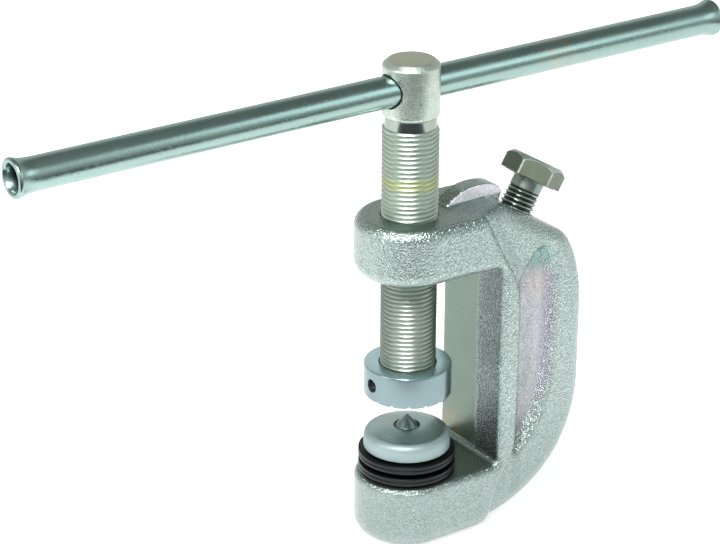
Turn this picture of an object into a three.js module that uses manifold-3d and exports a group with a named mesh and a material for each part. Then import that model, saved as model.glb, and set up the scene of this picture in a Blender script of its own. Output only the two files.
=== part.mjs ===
// Ball joint separator: a forged C-frame with a screw spindle turned by a sliding tommy bar, a pressure
// pad carried on the spindle's nose, a pointed anvil standing on disc springs, and a hex-headed striking
// bolt in the frame's shoulder.
//
// Millimetres, +Z up along the spindle. The origin is on the spindle's axis at the flat underside of the
// lower jaw, and +X points from the spindle to the back of the C-frame.
import * as THREE from 'three';
import { mergeVertices } from 'three/addons/utils/BufferGeometryUtils.js';
import Module from 'manifold-3d';

const wasm = await Module();
wasm.setup();

// ---- driving dimensions -------------------------------------------------------------------------------
const GAP = 0.3;                      // clearance between neighbouring solids
const ROUND = 36;                     // facets round a full turn

const FRAME = {
  jawTop: 28.7, armBottom: 122.2, armTop: 147.8,   // heights of the C's mouth and of the eye
  throat: 33.9,                                  // spindle axis to the spine's inner face
  back: 82.4,                                    // spindle axis to the spine's outer face
  eyeHalf: 23.3, jawHalf: 22.8, spineHalf: 22.2, // half widths; the first two are the ends' radii too
  ribHalf: 19, pocketHalf: 12,                   // half widths of the outer rib and across the pockets
  shoulder: 4, pocketWall: 3.2,                  // run of the step from band to rib and of the pocket wall
};
const FACET = { tilt: THREE.MathUtils.degToRad(31), x: 56, z: 137.2 };   // bolt seat on the shoulder
const LUG_HALF = 4.25;
const SPINDLE = { r: 12, neckR: 11, topR: 9.7, noseR: 7.5, top: 215.4, headFrom: 191.7, threadTop: 187 };
const BAR = { r: 6.7, boreR: 4.75, flareR: 8.1, mouthR: 5.7, flare: 10, from: -182, to: 162.4, z: 203.6 };
const PAD = { r: 18.8, from: 65.9, to: 79.8, floor: 69.4, recess: 1.5, recessR: 6, chamfer: 0.7 };
const PAD_GROOVES = { count: 16, deep: 0.9, half: 0.7 };
const GRUB = { r: 2.9, z: 72.9, from: -16.8, shank: -8.3, tip: -6.4, tipR: 1.2, socket: 1.5, deep: 3.2 };
const BALL_R = 2;
const ANVIL = { r: 18.75, rimR: 16.05, from: 40.1, rim: 47.5, crown: 49.3, shankR: 9.9, shankEnd: 9.6 };
const POINT = { r: 5.2, tip: 54.4, end: 42 };
const DISC = { count: 4, innerR: 10.4, outerR: 21, thick: 1.62, height: 2.7 };
const RING = { innerR: 9.3, outerR: 11.1, from: 12.2, thick: 1.4, opening: 0.5 };
const ANVIL_TRAVEL = 3;
const BOLT = { r: 8, rootR: 6.9, across: 24, head: 9.2, exposed: 13.8, neck: 4.6, engaged: 16.2,
  clocking: THREE.MathUtils.degToRad(-7.6) };
const BOLT_TRAVEL = 8;

// ---- solids and meshes --------------------------------------------------------------------------------
function toSolid(geometry) {
  const bare = geometry.clone();
  bare.deleteAttribute('normal');
  bare.deleteAttribute('uv');
  const merged = mergeVertices(bare, 1e-4);
  const index = merged.index.array;
  const kept = [];
  for (let i = 0; i < index.length; i += 3) {
    const [a, b, c] = index.slice(i, i + 3);
    if (a !== b && b !== c && c !== a) kept.push(a, b, c);
  }
  const vertProperties = Float32Array.from(merged.attributes.position.array);
  return new wasm.Manifold(new wasm.Mesh({ numProp: 3, vertProperties, triVerts: Uint32Array.from(kept) }));
}

function toGeometry(solid) {
  const mesh = solid.getMesh();
  const geometry = new THREE.BufferGeometry();
  geometry.setAttribute('position', new THREE.BufferAttribute(Float32Array.from(mesh.vertProperties), 3));
  geometry.setIndex(new THREE.BufferAttribute(Uint32Array.from(mesh.triVerts), 1));
  return geometry;
}

// A profile of [radius, height] points turned round Z. It starts and ends on the axis, or closes on itself.
function turned(profile, segments = ROUND) {
  const points = profile.map(([r, z]) => new THREE.Vector2(r, z));
  return new THREE.LatheGeometry(points, segments).rotateX(Math.PI / 2);
}

const turnedSolid = (profile, segments) => toSolid(turned(profile, segments));

// A plain round bar between two heights, for bores and for joining.
const rod = (r, from, to, segments) => turnedSolid([[0, from], [r, from], [r, to], [0, to]], segments);

const colours = {
  forging: { color: 0xb3bfb6, roughness: 0.42, metalness: 0.85 },
  spindle: { color: 0xb9bba9, roughness: 0.35, metalness: 0.9 },
  zinc: { color: 0xc6cfcd, roughness: 0.22, metalness: 0.95 },
  turnedSteel: { color: 0x9aa6ac, roughness: 0.3, metalness: 0.9 },
  anvilSteel: { color: 0xc9d3d4, roughness: 0.3, metalness: 0.8 },
  springSteel: { color: 0x17181a, roughness: 0.45, metalness: 0.5 },
  boltSteel: { color: 0x6e7263, roughness: 0.4, metalness: 0.85 },
  ballSteel: { color: 0xd0d3d6, roughness: 0.12, metalness: 1 },
};

function piece(name, geometry, finish) {
  const mesh = new THREE.Mesh(geometry, new THREE.MeshStandardMaterial(colours[finish]));
  mesh.name = name;
  return mesh;
}

// ---- forged C-frame -----------------------------------------------------------------------------------
// The body is a section carried along the C. Each station is a line across the C in the XZ plane, from the
// mouth to the outside. The section runs round that line: half the inner face, a round edge, the flank,
// a round edge and half the outer face. The other half is its mirror image in Y. At the two round ends the
// stations turn about the spindle's axis instead.
const line = (x0, z0, x1, z1) => new THREE.LineCurve(new THREE.Vector2(x0, z0), new THREE.Vector2(x1, z1));
const bend = (...xz) => new THREE.CubicBezierCurve(
  ...[0, 2, 4, 6].map((i) => new THREE.Vector2(xz[i], xz[i + 1])));
const arc = (x, z, r, from, to) => new THREE.EllipseCurve(x, z, r, r, from, to, to < from);
const part = (curve, from, to) => ({ getPoint: (t) => curve.getPoint(from + (to - from) * t) });

const facetZ = (x) => FACET.z - Math.tan(FACET.tilt) * (x - FACET.x);

function stations() {
  const { jawTop, armBottom, armTop, throat, back } = FRAME;
  const upperR = 4;
  const lowerR = 2.5;
  const facetStart = 37;
  const facetEnd = 70.5;
  const heel = bend(back, 60, back, 18.5, 50, 0, 22, 0);
  const spans = [
    [line(0, armBottom, 22, armBottom), line(0, armTop, 24, armTop), 4],
    [line(22, armBottom, throat - upperR, armBottom), line(24, armTop, facetStart, facetZ(facetStart)), 3],
    [arc(throat - upperR, armBottom - upperR, upperR, Math.PI / 2, 0),
      line(facetStart, facetZ(facetStart), facetEnd, facetZ(facetEnd)), 6],
    [line(throat, armBottom - upperR, throat, 92),
      bend(facetEnd, facetZ(facetEnd), 77, 124.7, back, 108.7, back, 92), 6],
    [line(throat, 92, throat, 60), line(back, 92, back, 60), 3],
    [line(throat, 60, throat, jawTop + lowerR), part(heel, 0, 0.5), 6],
    [arc(throat - lowerR, jawTop + lowerR, lowerR, 0, -Math.PI / 2), part(heel, 0.5, 0.78), 4],
    [line(throat - lowerR, jawTop, 20, jawTop), part(heel, 0.78, 1), 3],
    [line(20, jawTop, 0, jawTop), line(22, 0, 0, 0), 3],
  ];
  const along = [];
  spans.forEach(([inner, outer, steps], span) => {
    for (let i = span === 0 ? 0 : 1; i <= steps; i += 1) {
      along.push({ inner: inner.getPoint(i / steps), outer: outer.getPoint(i / steps), turn: 0 });
    }
  });
  const turns = [18, 36, 54, 72, 90].map(THREE.MathUtils.degToRad);
  const tip = (end) => turns.map((turn) => ({ ...end, turn }));
  return [...tip(along[0]).reverse(), ...along, ...tip(along[along.length - 1])];
}

// The outer zone of the flank, a step below the band along the C's mouth, and the pocket within it.
const OUTER_ZONE = [[22.5, 155], [24.5, 147.9], [31.9, 134.2], [36.6, 125.4], [41.3, 117.4], [44, 109.8],
  [44.9, 102], [44.9, 60], [43.7, 34.1], [40.1, 26.1], [36.6, 21.4], [34.1, 14.7], [31.5, 8.9], [28, -4],
  [110, -4], [110, 155]];
const POCKET = [[45, 29], [45, 111.5], [48.4, 117], [54, 124.2], [57.8, 126], [62, 122.6], [64.6, 112],
  [65.2, 95], [64.8, 83], [64, 67], [61.3, 55], [57.6, 44.6], [53, 37.2]];

// Distance from a point to a closed outline, positive inside it.
function depthIn(outline, x, z) {
  let nearest = Infinity;
  let inside = false;
  outline.forEach(([x0, z0], i) => {
    const [x1, z1] = outline[(i + 1) % outline.length];
    const [dx, dz] = [x1 - x0, z1 - z0];
    const t = THREE.MathUtils.clamp(((x - x0) * dx + (z - z0) * dz) / (dx * dx + dz * dz), 0, 1);
    nearest = Math.min(nearest, Math.hypot(x - x0 - t * dx, z - z0 - t * dz));
    if (z0 > z !== z1 > z && x < x0 + ((z - z0) * dx) / dz) inside = !inside;
  });
  return inside ? nearest : -nearest;
}

// Half the frame's width at a point of the flank.
function halfWidth(x, z) {
  const { eyeHalf, jawHalf, spineHalf, ribHalf, pocketHalf, shoulder, pocketWall } = FRAME;
  const { lerp, smoothstep } = THREE.MathUtils;
  const arms = lerp(jawHalf, eyeHalf, smoothstep(z, FRAME.jawTop, FRAME.armBottom));
  const band = lerp(arms, spineHalf, smoothstep(x, 22, FRAME.throat));
  const rise = THREE.MathUtils.clamp(-depthIn(OUTER_ZONE, x, z) / shoulder, 0, 1);
  const flank = ribHalf + (band - ribHalf) * Math.sqrt(1 - (1 - rise) ** 2);
  const sink = smoothstep(depthIn(POCKET, x, z), 0, pocketWall);
  return flank - (ribHalf - pocketHalf) * sink;
}

// Edge radii at the mouth and at the outside, easing from one stretch of the C to the next.
function edgeRadii({ inner, outer }) {
  const { smoothstep, lerp } = THREE.MathUtils;
  const onSpine = smoothstep(inner.x, 15, 32);
  const upper = smoothstep(inner.y, 60, 110);
  const mouth = lerp(lerp(3, 6, upper), 3.6, onSpine);
  const top = smoothstep(outer.y, 60, 125);
  const outside = lerp(lerp(7, 3, top), 8, smoothstep(outer.x, 26, lerp(80, 42, top)));
  return [mouth, outside];
}

// Distance along a station's line at which the depth inside an outline first rises above a level.
function firstAbove(place, length, outline, level) {
  const steps = 120;
  const depth = (i) => depthIn(outline, ...place((i / steps) * length)) - level;
  for (let i = 0; i < steps; i += 1) {
    const [here, next] = [depth(i), depth(i + 1)];
    if (next > 0) return ((i + (here > 0 ? 0 : -here / (next - here))) / steps) * length;
  }
  return length;
}

// Where the flank changes along a station's line, so that its facets follow the step and the pocket.
function flankBreaks({ inner, outer }, from, to) {
  const length = inner.distanceTo(outer);
  const outward = (d) => inner.clone().lerp(outer, d / length).toArray();
  const inward = (d) => outward(length - d);
  const enter = (outline, level) => firstAbove(outward, length, outline, level);
  const leave = (outline, level) => length - firstAbove(inward, length, outline, level);
  const [near, far] = [enter(POCKET, 0), leave(POCKET, 0)];
  const middle = near < far ? (near + far) / 2 : 0;
  const floor = [enter(POCKET, FRAME.pocketWall), leave(POCKET, FRAME.pocketWall)];
  const pocket = [near < far ? near : 0, ...(floor[0] < floor[1] ? floor : [middle, middle]), near < far ? far : 0];
  const breaks = [from, enter(OUTER_ZONE, -FRAME.shoulder), enter(OUTER_ZONE, 0), ...pocket, to];
  for (let i = 1; i < breaks.length; i += 1) breaks[i] = Math.min(Math.max(breaks[i], breaks[i - 1]), to);
  return breaks;
}

function sectionPoints(station) {
  const { inner, outer, turn } = station;
  const length = inner.distanceTo(outer);
  const [mouthR, outsideR] = edgeRadii(station);
  const arcSteps = 3;
  const flankSteps = [2, 3, 1, 2, 1, 2, 2];
  const at = (d) => inner.clone().lerp(outer, d / length);
  const widthAt = (d) => halfWidth(at(d).x, at(d).y);
  const rows = [[0, 0], [0, (widthAt(0) - mouthR) / 2]];
  for (let i = 0; i <= arcSteps; i += 1) {
    const angle = (i / arcSteps) * Math.PI / 2;
    const d = mouthR * (1 - Math.cos(angle));
    rows.push([d, widthAt(d) - mouthR * (1 - Math.sin(angle))]);
  }
  const breaks = flankBreaks(station, mouthR, length - outsideR);
  flankSteps.forEach((steps, span) => {
    for (let i = 1; i <= steps; i += 1) {
      const d = THREE.MathUtils.lerp(breaks[span], breaks[span + 1], i / steps);
      if (span < flankSteps.length - 1 || i < steps) rows.push([d, widthAt(d)]);
    }
  });
  for (let i = arcSteps; i >= 0; i -= 1) {
    const angle = (i / arcSteps) * Math.PI / 2;
    const d = length - outsideR * (1 - Math.cos(angle));
    rows.push([d, widthAt(d) - outsideR * (1 - Math.sin(angle))]);
  }
  rows.push([length, (widthAt(length) - outsideR) / 2], [length, 0]);
  return rows.map(([d, w]) => {
    const point = at(d);
    return [point.x - w * Math.sin(turn), w * Math.cos(turn), point.y];
  });
}

function frameBody() {
  const rows = stations().map(sectionPoints);
  const corners = [];
  for (let i = 0; i + 1 < rows.length; i += 1) {
    for (let j = 0; j + 1 < rows[i].length; j += 1) {
      const [a, b, c, d] = [rows[i][j], rows[i][j + 1], rows[i + 1][j + 1], rows[i + 1][j]];
      const mirrored = [a, c, b, a, d, c].map(([x, y, z]) => [x, -y, z]);
      corners.push(a, b, c, a, c, d, ...mirrored);
    }
  }
  const geometry = new THREE.BufferGeometry();
  geometry.setAttribute('position', new THREE.BufferAttribute(Float32Array.from(corners.flat()), 3));
  return toSolid(geometry);
}

// A low rounded rib standing on the arm behind the spindle.
function lug() {
  const outline = new THREE.Shape();
  outline.moveTo(15.5, 145);
  outline.lineTo(16, 148);
  outline.bezierCurveTo(20, 152, 25, 154.4, 32, 154.4);
  outline.bezierCurveTo(38, 154.4, 45, 153, 45, 148.5);
  outline.lineTo(42.5, 141);
  const options = { depth: 2 * LUG_HALF, bevelEnabled: false, curveSegments: 6 };
  const slab = new THREE.ExtrudeGeometry(outline, options);
  return toSolid(slab.rotateX(Math.PI / 2).translate(0, LUG_HALF, 0));
}

// Lays a solid made along Z onto the bolt's axis, with its origin at the seat.
function onBoltAxis(geometry) {
  return geometry.rotateY(FACET.tilt).translate(FACET.x, 0, FACET.z);
}

function frame() {
  const { jawTop, armBottom, armTop } = FRAME;
  const boreR = SPINDLE.r + GAP;
  const lead = 1.2;
  const spindleBore = turnedSolid([[0, armBottom - 1], [boreR + lead + 1, armBottom - 1], [boreR, armBottom + lead],
    [boreR, armTop - lead], [boreR + lead + 1, armTop + 1], [0, armTop + 1]]);
  const ringRoom = RING.outerR + GAP + 0.2;
  const anvilBoreR = ANVIL.shankR + GAP;
  const anvilBore = turnedSolid([[0, ANVIL.shankEnd - ANVIL_TRAVEL - 0.6],
    [anvilBoreR, ANVIL.shankEnd - ANVIL_TRAVEL - 0.6], [anvilBoreR, RING.from - ANVIL_TRAVEL - GAP],
    [ringRoom, RING.from - ANVIL_TRAVEL - GAP], [ringRoom, RING.from + RING.thick + GAP],
    [anvilBoreR, RING.from + RING.thick + GAP], [anvilBoreR, jawTop + 1], [0, jawTop + 1]]);
  const boltBoreEnd = -(BOLT.engaged + BOLT_TRAVEL + 1);
  const boltBore = toSolid(onBoltAxis(turned([[0, boltBoreEnd], [BOLT.r + GAP, boltBoreEnd],
    [BOLT.r + GAP, 12], [0, 12]], 36)));
  const solid = frameBody().add(lug()).subtract(spindleBore).subtract(anvilBore).subtract(boltBore);
  return piece('frame', toGeometry(solid), 'forging');
}

// ---- spindle, its ball, and the bar -------------------------------------------------------------------
function spindle() {
  const { r, neckR, topR, noseR, top, headFrom, threadTop } = SPINDLE;
  const noseEnd = PAD.floor + 1;
  const threadEnd = 76.2;
  const grooveR = noseR - 1.5;
  const body = turnedSolid([[0, noseEnd], [noseR - 0.6, noseEnd], [noseR, noseEnd + 0.6],
    [noseR, GRUB.z - 1.5], [grooveR, GRUB.z - 1.5], [grooveR, GRUB.z + 1.5], [noseR, GRUB.z + 1.5],
    [noseR, threadEnd], [r - 1, threadEnd], [r, threadEnd + 1], [r, threadTop - 1], [neckR, threadTop],
    [neckR, headFrom], [r - 0.6, headFrom], [r, headFrom + 0.6], [r, top - 1.9], [topR + 1, top - 0.6],
    [topR, top], [0, top]]);
  const ballPocket = rod(BALL_R + GAP, noseEnd - 1, PAD.floor + 2 * BALL_R + 2 * GAP, 24);
  const crossHole = toSolid(turned([[0, -20], [BAR.r + GAP, -20], [BAR.r + GAP, 20], [0, 20]], 36)
    .rotateY(Math.PI / 2).translate(0, 0, BAR.z));
  return piece('spindle', toGeometry(body.subtract(ballPocket).subtract(crossHole)), 'spindle');
}

function thrustBall() {
  const ball = new THREE.SphereGeometry(BALL_R, 20, 12);
  return piece('thrust_ball', ball.translate(0, 0, PAD.floor + GAP + BALL_R), 'ballSteel');
}

function tommyBar() {
  const { r, boreR, flareR, mouthR, flare, from, to, z } = BAR;
  const half = (to - from) / 2;
  const outside = [[r, half - flare], [r + 0.5, half - 0.6 * flare], [flareR - 0.3, half - 1.4],
    [flareR, half - 0.7], [flareR - 0.7, half], [mouthR, half], [boreR, half - flare]];
  const mirrored = outside.map(([radius, x]) => [radius, -x]).reverse();
  const section = [...mirrored, ...outside, mirrored[0]];
  const geometry = turned(section, 36).rotateY(Math.PI / 2).translate((from + to) / 2, 0, z);
  return piece('tommy_bar', geometry, 'zinc');
}

// ---- pressure pad and its locking screw ---------------------------------------------------------------
function pressurePad() {
  const { r, from, to, floor, recess, recessR, chamfer } = PAD;
  const noseBoreR = SPINDLE.noseR + GAP;
  const counterR = SPINDLE.r + 0.8;
  const counterFrom = 75.8;
  let solid = turnedSolid([[0, from + recess], [recessR, from + recess], [recessR, from],
    [r - chamfer, from], [r, from + chamfer], [r, to - chamfer], [r - chamfer, to], [counterR, to],
    [counterR, counterFrom], [noseBoreR, counterFrom], [noseBoreR, floor], [0, floor]]);
  const { count, deep, half } = PAD_GROOVES;
  for (let i = 0; i < count; i += 1) {
    const notch = new THREE.CylinderGeometry(half * 1.6, half * 1.6, r + 4, 4);
    notch.rotateZ(Math.PI / 2).translate((r + 4) / 2 + recessR + 2, 0, from + 1.2 * half - deep);
    solid = solid.subtract(toSolid(notch.rotateZ(((i + 0.5) / count) * 2 * Math.PI)));
  }
  const screwHole = toSolid(turned([[0, -r - 1], [GRUB.r + GAP, -r - 1], [GRUB.r + GAP, 0], [0, 0]], 24)
    .rotateY(Math.PI / 2).translate(0, 0, GRUB.z));
  const noseSpace = rod(noseBoreR, floor, to, ROUND);
  const drilled = solid.subtract(screwHole.subtract(noseSpace));
  return piece('pressure_pad', toGeometry(drilled), 'turnedSteel');
}

function grubScrew() {
  const { r, z, from, shank, tip, tipR, socket, deep } = GRUB;
  const body = turnedSolid([[0, from], [r - 0.4, from], [r, from + 0.4], [r, shank - 0.8],
    [r - 0.8, shank], [tipR, shank], [tipR, tip], [0, tip]], 24);
  const key = toSolid(new THREE.CylinderGeometry(socket / Math.cos(Math.PI / 6), socket / Math.cos(Math.PI / 6),
    2 * deep, 6).rotateX(Math.PI / 2).translate(0, 0, from));
  const geometry = toGeometry(body.subtract(key)).rotateY(Math.PI / 2).translate(0, 0, z);
  return piece('pad_grub_screw', geometry, 'boltSteel');
}

// ---- anvil, its point, disc springs and retaining ring ------------------------------------------------
function anvil() {
  const { r, rimR, from, rim, crown, shankR, shankEnd } = ANVIL;
  const ringFrom = RING.from - GAP;
  const ringTo = RING.from + RING.thick + GAP;
  const grooveR = RING.innerR - GAP;
  const pointR = POINT.r + GAP;
  const profile = [[0, shankEnd], [shankR - 1, shankEnd], [shankR, shankEnd + 1], [shankR, ringFrom],
    [grooveR, ringFrom], [grooveR, ringTo], [shankR, ringTo], [shankR, from], [r - 0.5, from],
    [r, from + 0.5], [r, rim - 3.4], [r - 0.7, rim - 1.5], [rimR, rim], [(rimR + pointR) / 2, rim + 1.25],
    [pointR, crown], [pointR, POINT.end - GAP], [0, POINT.end - GAP]];
  return piece('anvil', toGeometry(turnedSolid(profile)), 'anvilSteel');
}

function anvilPoint() {
  const { r, tip, end } = POINT;
  const profile = [[0, end], [r - 0.4, end], [r, end + 0.4], [r, ANVIL.crown - 0.1], [0.25, tip - 0.15], [0, tip]];
  return piece('anvil_centre_point', turned(profile, 36), 'turnedSteel');
}

// Conical washers stacked in series: odd ones open upwards and even ones stand the other way up.
function discSprings() {
  const { count, innerR, outerR, thick, height } = DISC;
  const room = ANVIL.from - FRAME.jawTop;
  const between = (room - count * height) / (count + 1);
  return Array.from({ length: count }, (_, i) => {
    const bottom = FRAME.jawTop + between + i * (height + between);
    const rise = height - thick;
    const [inner, outer] = i % 2 === 0 ? [0, rise] : [rise, 0];
    const section = [[innerR, bottom + inner], [outerR - 0.4, bottom + outer], [outerR, bottom + outer + 0.4],
      [outerR, bottom + outer + thick - 0.4], [outerR - 0.4, bottom + outer + thick],
      [innerR, bottom + inner + thick], [innerR, bottom + inner]];
    return piece(`disc_spring_${i + 1}`, turned(section), 'springSteel');
  });
}

function snapRing() {
  const { innerR, outerR, from, thick, opening } = RING;
  const outline = new THREE.Shape();
  outline.absarc(0, 0, outerR, opening / 2, 2 * Math.PI - opening / 2, false);
  outline.absarc(0, 0, innerR, 2 * Math.PI - opening / 2, opening / 2, true);
  const ring = new THREE.ExtrudeGeometry(outline, { depth: thick, bevelEnabled: false, curveSegments: 36 });
  return piece('anvil_snap_ring', ring.translate(0, 0, from), 'springSteel');
}

// ---- striking bolt ------------------------------------------------------------------------------------
function strikingBolt() {
  const { r, rootR, across, head, exposed, neck, engaged } = BOLT;
  const corner = across / 2 / Math.cos(Math.PI / 6);
  const shank = turnedSolid([[0, -engaged], [r - 1.2, -engaged], [r, 1.2 - engaged], [r, exposed - neck - 0.8],
    [rootR, exposed - neck], [rootR, exposed + 1], [0, exposed + 1]], 36);
  const hexagon = toSolid(new THREE.CylinderGeometry(corner, corner, head, 6)
    .rotateX(Math.PI / 2).rotateZ(BOLT.clocking).translate(0, 0, exposed + head / 2));
  const chamfered = turnedSolid([[0, exposed - 1], [corner + 1, exposed - 1],
    [corner + 1, exposed + head - 1.6], [across / 2 - 0.4, exposed + head], [0, exposed + head]], ROUND);
  const geometry = toGeometry(hexagon.intersect(chamfered).add(shank));
  const mesh = piece('striking_bolt', geometry, 'boltSteel');
  mesh.rotation.y = FACET.tilt;
  mesh.position.set(FACET.x, 0, FACET.z);
  return mesh;
}

// ---- assembly -----------------------------------------------------------------------------------------
const separator = new THREE.Group();
separator.add(frame(), strikingBolt());
separator.add(spindle(), thrustBall(), tommyBar(), pressurePad(), grubScrew());
separator.add(anvil(), anvilPoint(), ...discSprings(), snapRing());

export default separator;
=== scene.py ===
"""Ball joint separator: the visible surfaces of the forged C-frame, its screw spindle and tommy bar, the
pressure pad, the anvil on its disc springs and the striking bolt.

Shapes are worked out in millimetres on grids of two parameters and put into meshes in metres.
"""
import math

import bmesh
import bpy
import numpy as np
from bpy.props import FloatProperty, FloatVectorProperty, PointerProperty
from mathutils import Matrix, Quaternion, Vector


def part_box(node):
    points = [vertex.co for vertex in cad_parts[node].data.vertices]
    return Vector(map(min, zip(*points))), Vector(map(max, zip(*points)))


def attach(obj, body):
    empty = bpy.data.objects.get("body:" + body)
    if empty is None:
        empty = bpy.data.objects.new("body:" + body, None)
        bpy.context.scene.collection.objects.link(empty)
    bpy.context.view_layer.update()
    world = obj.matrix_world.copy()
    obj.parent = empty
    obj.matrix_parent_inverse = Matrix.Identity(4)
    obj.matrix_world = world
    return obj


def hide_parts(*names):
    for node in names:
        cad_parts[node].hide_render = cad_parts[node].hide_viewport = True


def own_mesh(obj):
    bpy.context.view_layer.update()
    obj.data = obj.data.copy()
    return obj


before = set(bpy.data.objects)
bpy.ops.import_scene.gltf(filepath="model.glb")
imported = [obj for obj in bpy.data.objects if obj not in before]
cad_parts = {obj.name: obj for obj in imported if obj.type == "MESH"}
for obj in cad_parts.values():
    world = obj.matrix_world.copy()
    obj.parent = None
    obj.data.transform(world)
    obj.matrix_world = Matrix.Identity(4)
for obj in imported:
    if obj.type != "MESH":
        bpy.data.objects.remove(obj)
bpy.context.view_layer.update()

bl_info = {
    "name": "Ball joint separator",
    "version": (1, 0, 0),
    "blender": (4, 5, 0),
    "location": "3D Viewport > Sidebar > Separator",
    "description": "Builds the surfaces and finishes of a forged ball joint separator on its packed frame",
    "category": "Add Mesh",
}

MM = 0.001
TURN = 2 * math.pi
QUARTER = math.pi / 2


def measured(node):
    """Lowest and highest corners of a CAD node, in millimetres."""
    low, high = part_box(node)
    return np.array(low) / MM, np.array(high) / MM


# ---- driving dimensions, in millimetres ----------------------------------------------------------------
_, FORGING_HIGH = measured("frame")
SPINDLE_LOW, SPINDLE_HIGH = measured("spindle")
BAR_LOW, BAR_HIGH = measured("tommy_bar")
PAD_LOW, PAD_HIGH = measured("pressure_pad")
GRUB_LOW, GRUB_HIGH = measured("pad_grub_screw")
BALL_LOW, BALL_HIGH = measured("thrust_ball")
ANVIL_LOW, ANVIL_HIGH = measured("anvil")
POINT_LOW, POINT_HIGH = measured("anvil_centre_point")
RING_LOW, RING_HIGH = measured("anvil_snap_ring")

CLEARANCE = 0.3
EYE_HALF = FORGING_HIGH[1]                  # half width of the upper arm and radius of its round end
BACK = FORGING_HIGH[0]                      # spindle axis to the spine's outer face
LUG_TOP = FORGING_HIGH[2]
JAW_TOP, ARM_BOTTOM, ARM_TOP = 28.7, 122.2, 147.8
THROAT = 33.9                               # spindle axis to the spine's inner face
JAW_HALF, SPINE_HALF, RIB_HALF, POCKET_HALF = 22.8, 22.2, 19.0, 12.0
SHOULDER = 4.0                              # run of the step from the band down to the rib
POCKET_WALL = 5.8
FACET_TILT, FACET_X, FACET_Z = math.radians(31), 56.0, 137.2
LUG_HALF = 4.25

SPINDLE_R = SPINDLE_HIGH[0]
SPINDLE_TOP = SPINDLE_HIGH[2]
NECK_R, THREAD_FROM, THREAD_TO, HEAD_FROM = 11.0, 76.2, 187.0, 191.7
NOSE_R = 7.5
BAR_Z = (BAR_LOW[2] + BAR_HIGH[2]) / 2
BAR_R, BAR_FLARE_R = 6.7, (BAR_HIGH[2] - BAR_LOW[2]) / 2
PAD_R = PAD_HIGH[0]
PAD_FLOOR = 69.4
GRUB_Z = (GRUB_LOW[2] + GRUB_HIGH[2]) / 2
ANVIL_R = ANVIL_HIGH[0]
ANVIL_FLANGE = 40.1
POINT_R = POINT_HIGH[0]
BOLT_R, BOLT_ROOT_R, BOLT_ACROSS, BOLT_HEAD = 8.0, 6.9, 24.0, 9.2
BOLT_EXPOSED, BOLT_NECK, BOLT_ENGAGED = 13.8, 4.6, 16.2
BOLT_CLOCKING = math.radians(-7.6)
HEAD_SLOPE, HEAD_RING_R, HEAD_CORNER_R = 0.95, 11.3, 13.78     # top chamfer of the bolt's head

# Outlines in the XZ plane: where the wide band ends and the rib begins, and the pocket in the rib.
OUTER_ZONE = [(22.5, 155), (24.5, 147.9), (31.9, 134.2), (36.6, 125.4), (41.3, 117.4), (44, 109.8),
              (44.9, 102), (44.9, 60), (43.7, 34.1), (40.1, 26.1), (36.6, 21.4), (34.1, 14.7), (31.5, 8.9),
              (28, -4), (110, -4), (110, 155)]
POCKET = [(45, 29), (45, 111.5), (48.4, 117), (54, 124.2), (57.8, 126), (62, 122.6), (64.6, 112), (65.2, 95),
          (64.8, 83), (64, 67), (61.3, 55), (57.6, 44.6), (53, 37.2)]

# ---- tones that stay as they are -----------------------------------------------------------------------
WHITE = (1.0, 1.0, 1.0)
# Painted shade: the dark specks of the zinc's sparkle, and the throat's rough strip.
SPECK_SHADE, THROAT_SHADE = (0.03, 0.04, 0.04), (0.09, 0.12, 0.12)
ROSE_FILM, OIL_STAIN, OLIVE_FILM = (0.70, 0.52, 0.50), (0.30, 0.26, 0.16), (0.46, 0.45, 0.33)
BAR_SMUDGE, BORE_SHADE = (0.42, 0.38, 0.28), (0.05, 0.055, 0.05)
ANVIL_FACE, POINT_STEEL, RUBBED_BLACK = (0.365, 0.475, 0.455), (0.20, 0.245, 0.235), (0.03, 0.036, 0.036)
BALL_STEEL, SCREW_BLACK, RING_BLACK = (0.7, 0.72, 0.74), (0.045, 0.046, 0.048), (0.03, 0.03, 0.032)
THREAD_ROOT_SHADE, THREAD_CREST = (0.04, 0.05, 0.045), (0.62, 0.70, 0.64)
BARE_NECK, WORN_EDGE = (0.205, 0.255, 0.23), (0.62, 0.70, 0.64)


# ---- sizes and colours that a user may change ----------------------------------------------------------
def length(name, description, default):
    """A length property whose default is given in millimetres."""
    return FloatProperty(name=name, description=description, default=default * MM, min=0.0, precision=5,
                         subtype="DISTANCE", unit="LENGTH")


def colour(name, description, default):
    """A linear colour property."""
    return FloatVectorProperty(name=name, description=description, default=default, size=3, min=0.0, max=1.0,
                               subtype="COLOR")


class SeparatorForging(bpy.types.PropertyGroup):
    """Sizes and colours of the forged C-frame."""

    grain: length("Grain", "Size of the dimples that blasting leaves in the zinc", 0.85)
    grain_depth: length("Grain depth", "How deep the dimples are", 0.1)
    zinc: colour("Zinc", "Plated zinc on the blasted forging", (0.32, 0.395, 0.372))
    machined: colour("Machined", "Plated zinc on the milled faces", (0.15, 0.198, 0.165))
    violet: colour("Violet", "Thick passivation film on the pocket's wall", (0.43, 0.365, 0.50))
    cyan: colour("Cyan", "Passivation film at the pocket's tip", (0.22, 0.39, 0.36))
    pink: colour("Pink", "Thin passivation film on the pocket's floor and the lug", (0.50, 0.485, 0.53))


class SeparatorScrews(bpy.types.PropertyGroup):
    """Sizes and colours of the spindle and the striking bolt."""

    spindle_pitch: length("Spindle pitch", "Rise of the spindle's thread in one turn", 2.0)
    spindle_depth: length("Spindle thread depth", "Crest to root of the spindle's thread", 0.95)
    bolt_pitch: length("Bolt pitch", "Rise of the striking bolt's thread in one turn", 2.0)
    plated: colour("Spindle steel", "Zinc on the spindle", (0.54, 0.62, 0.54))
    passivated: colour("Passivated band", "Yellow film round the spindle", (0.62, 0.66, 0.22))
    olive: colour("Bolt steel", "Oiled steel of the striking bolt", (0.195, 0.235, 0.175))


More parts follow.
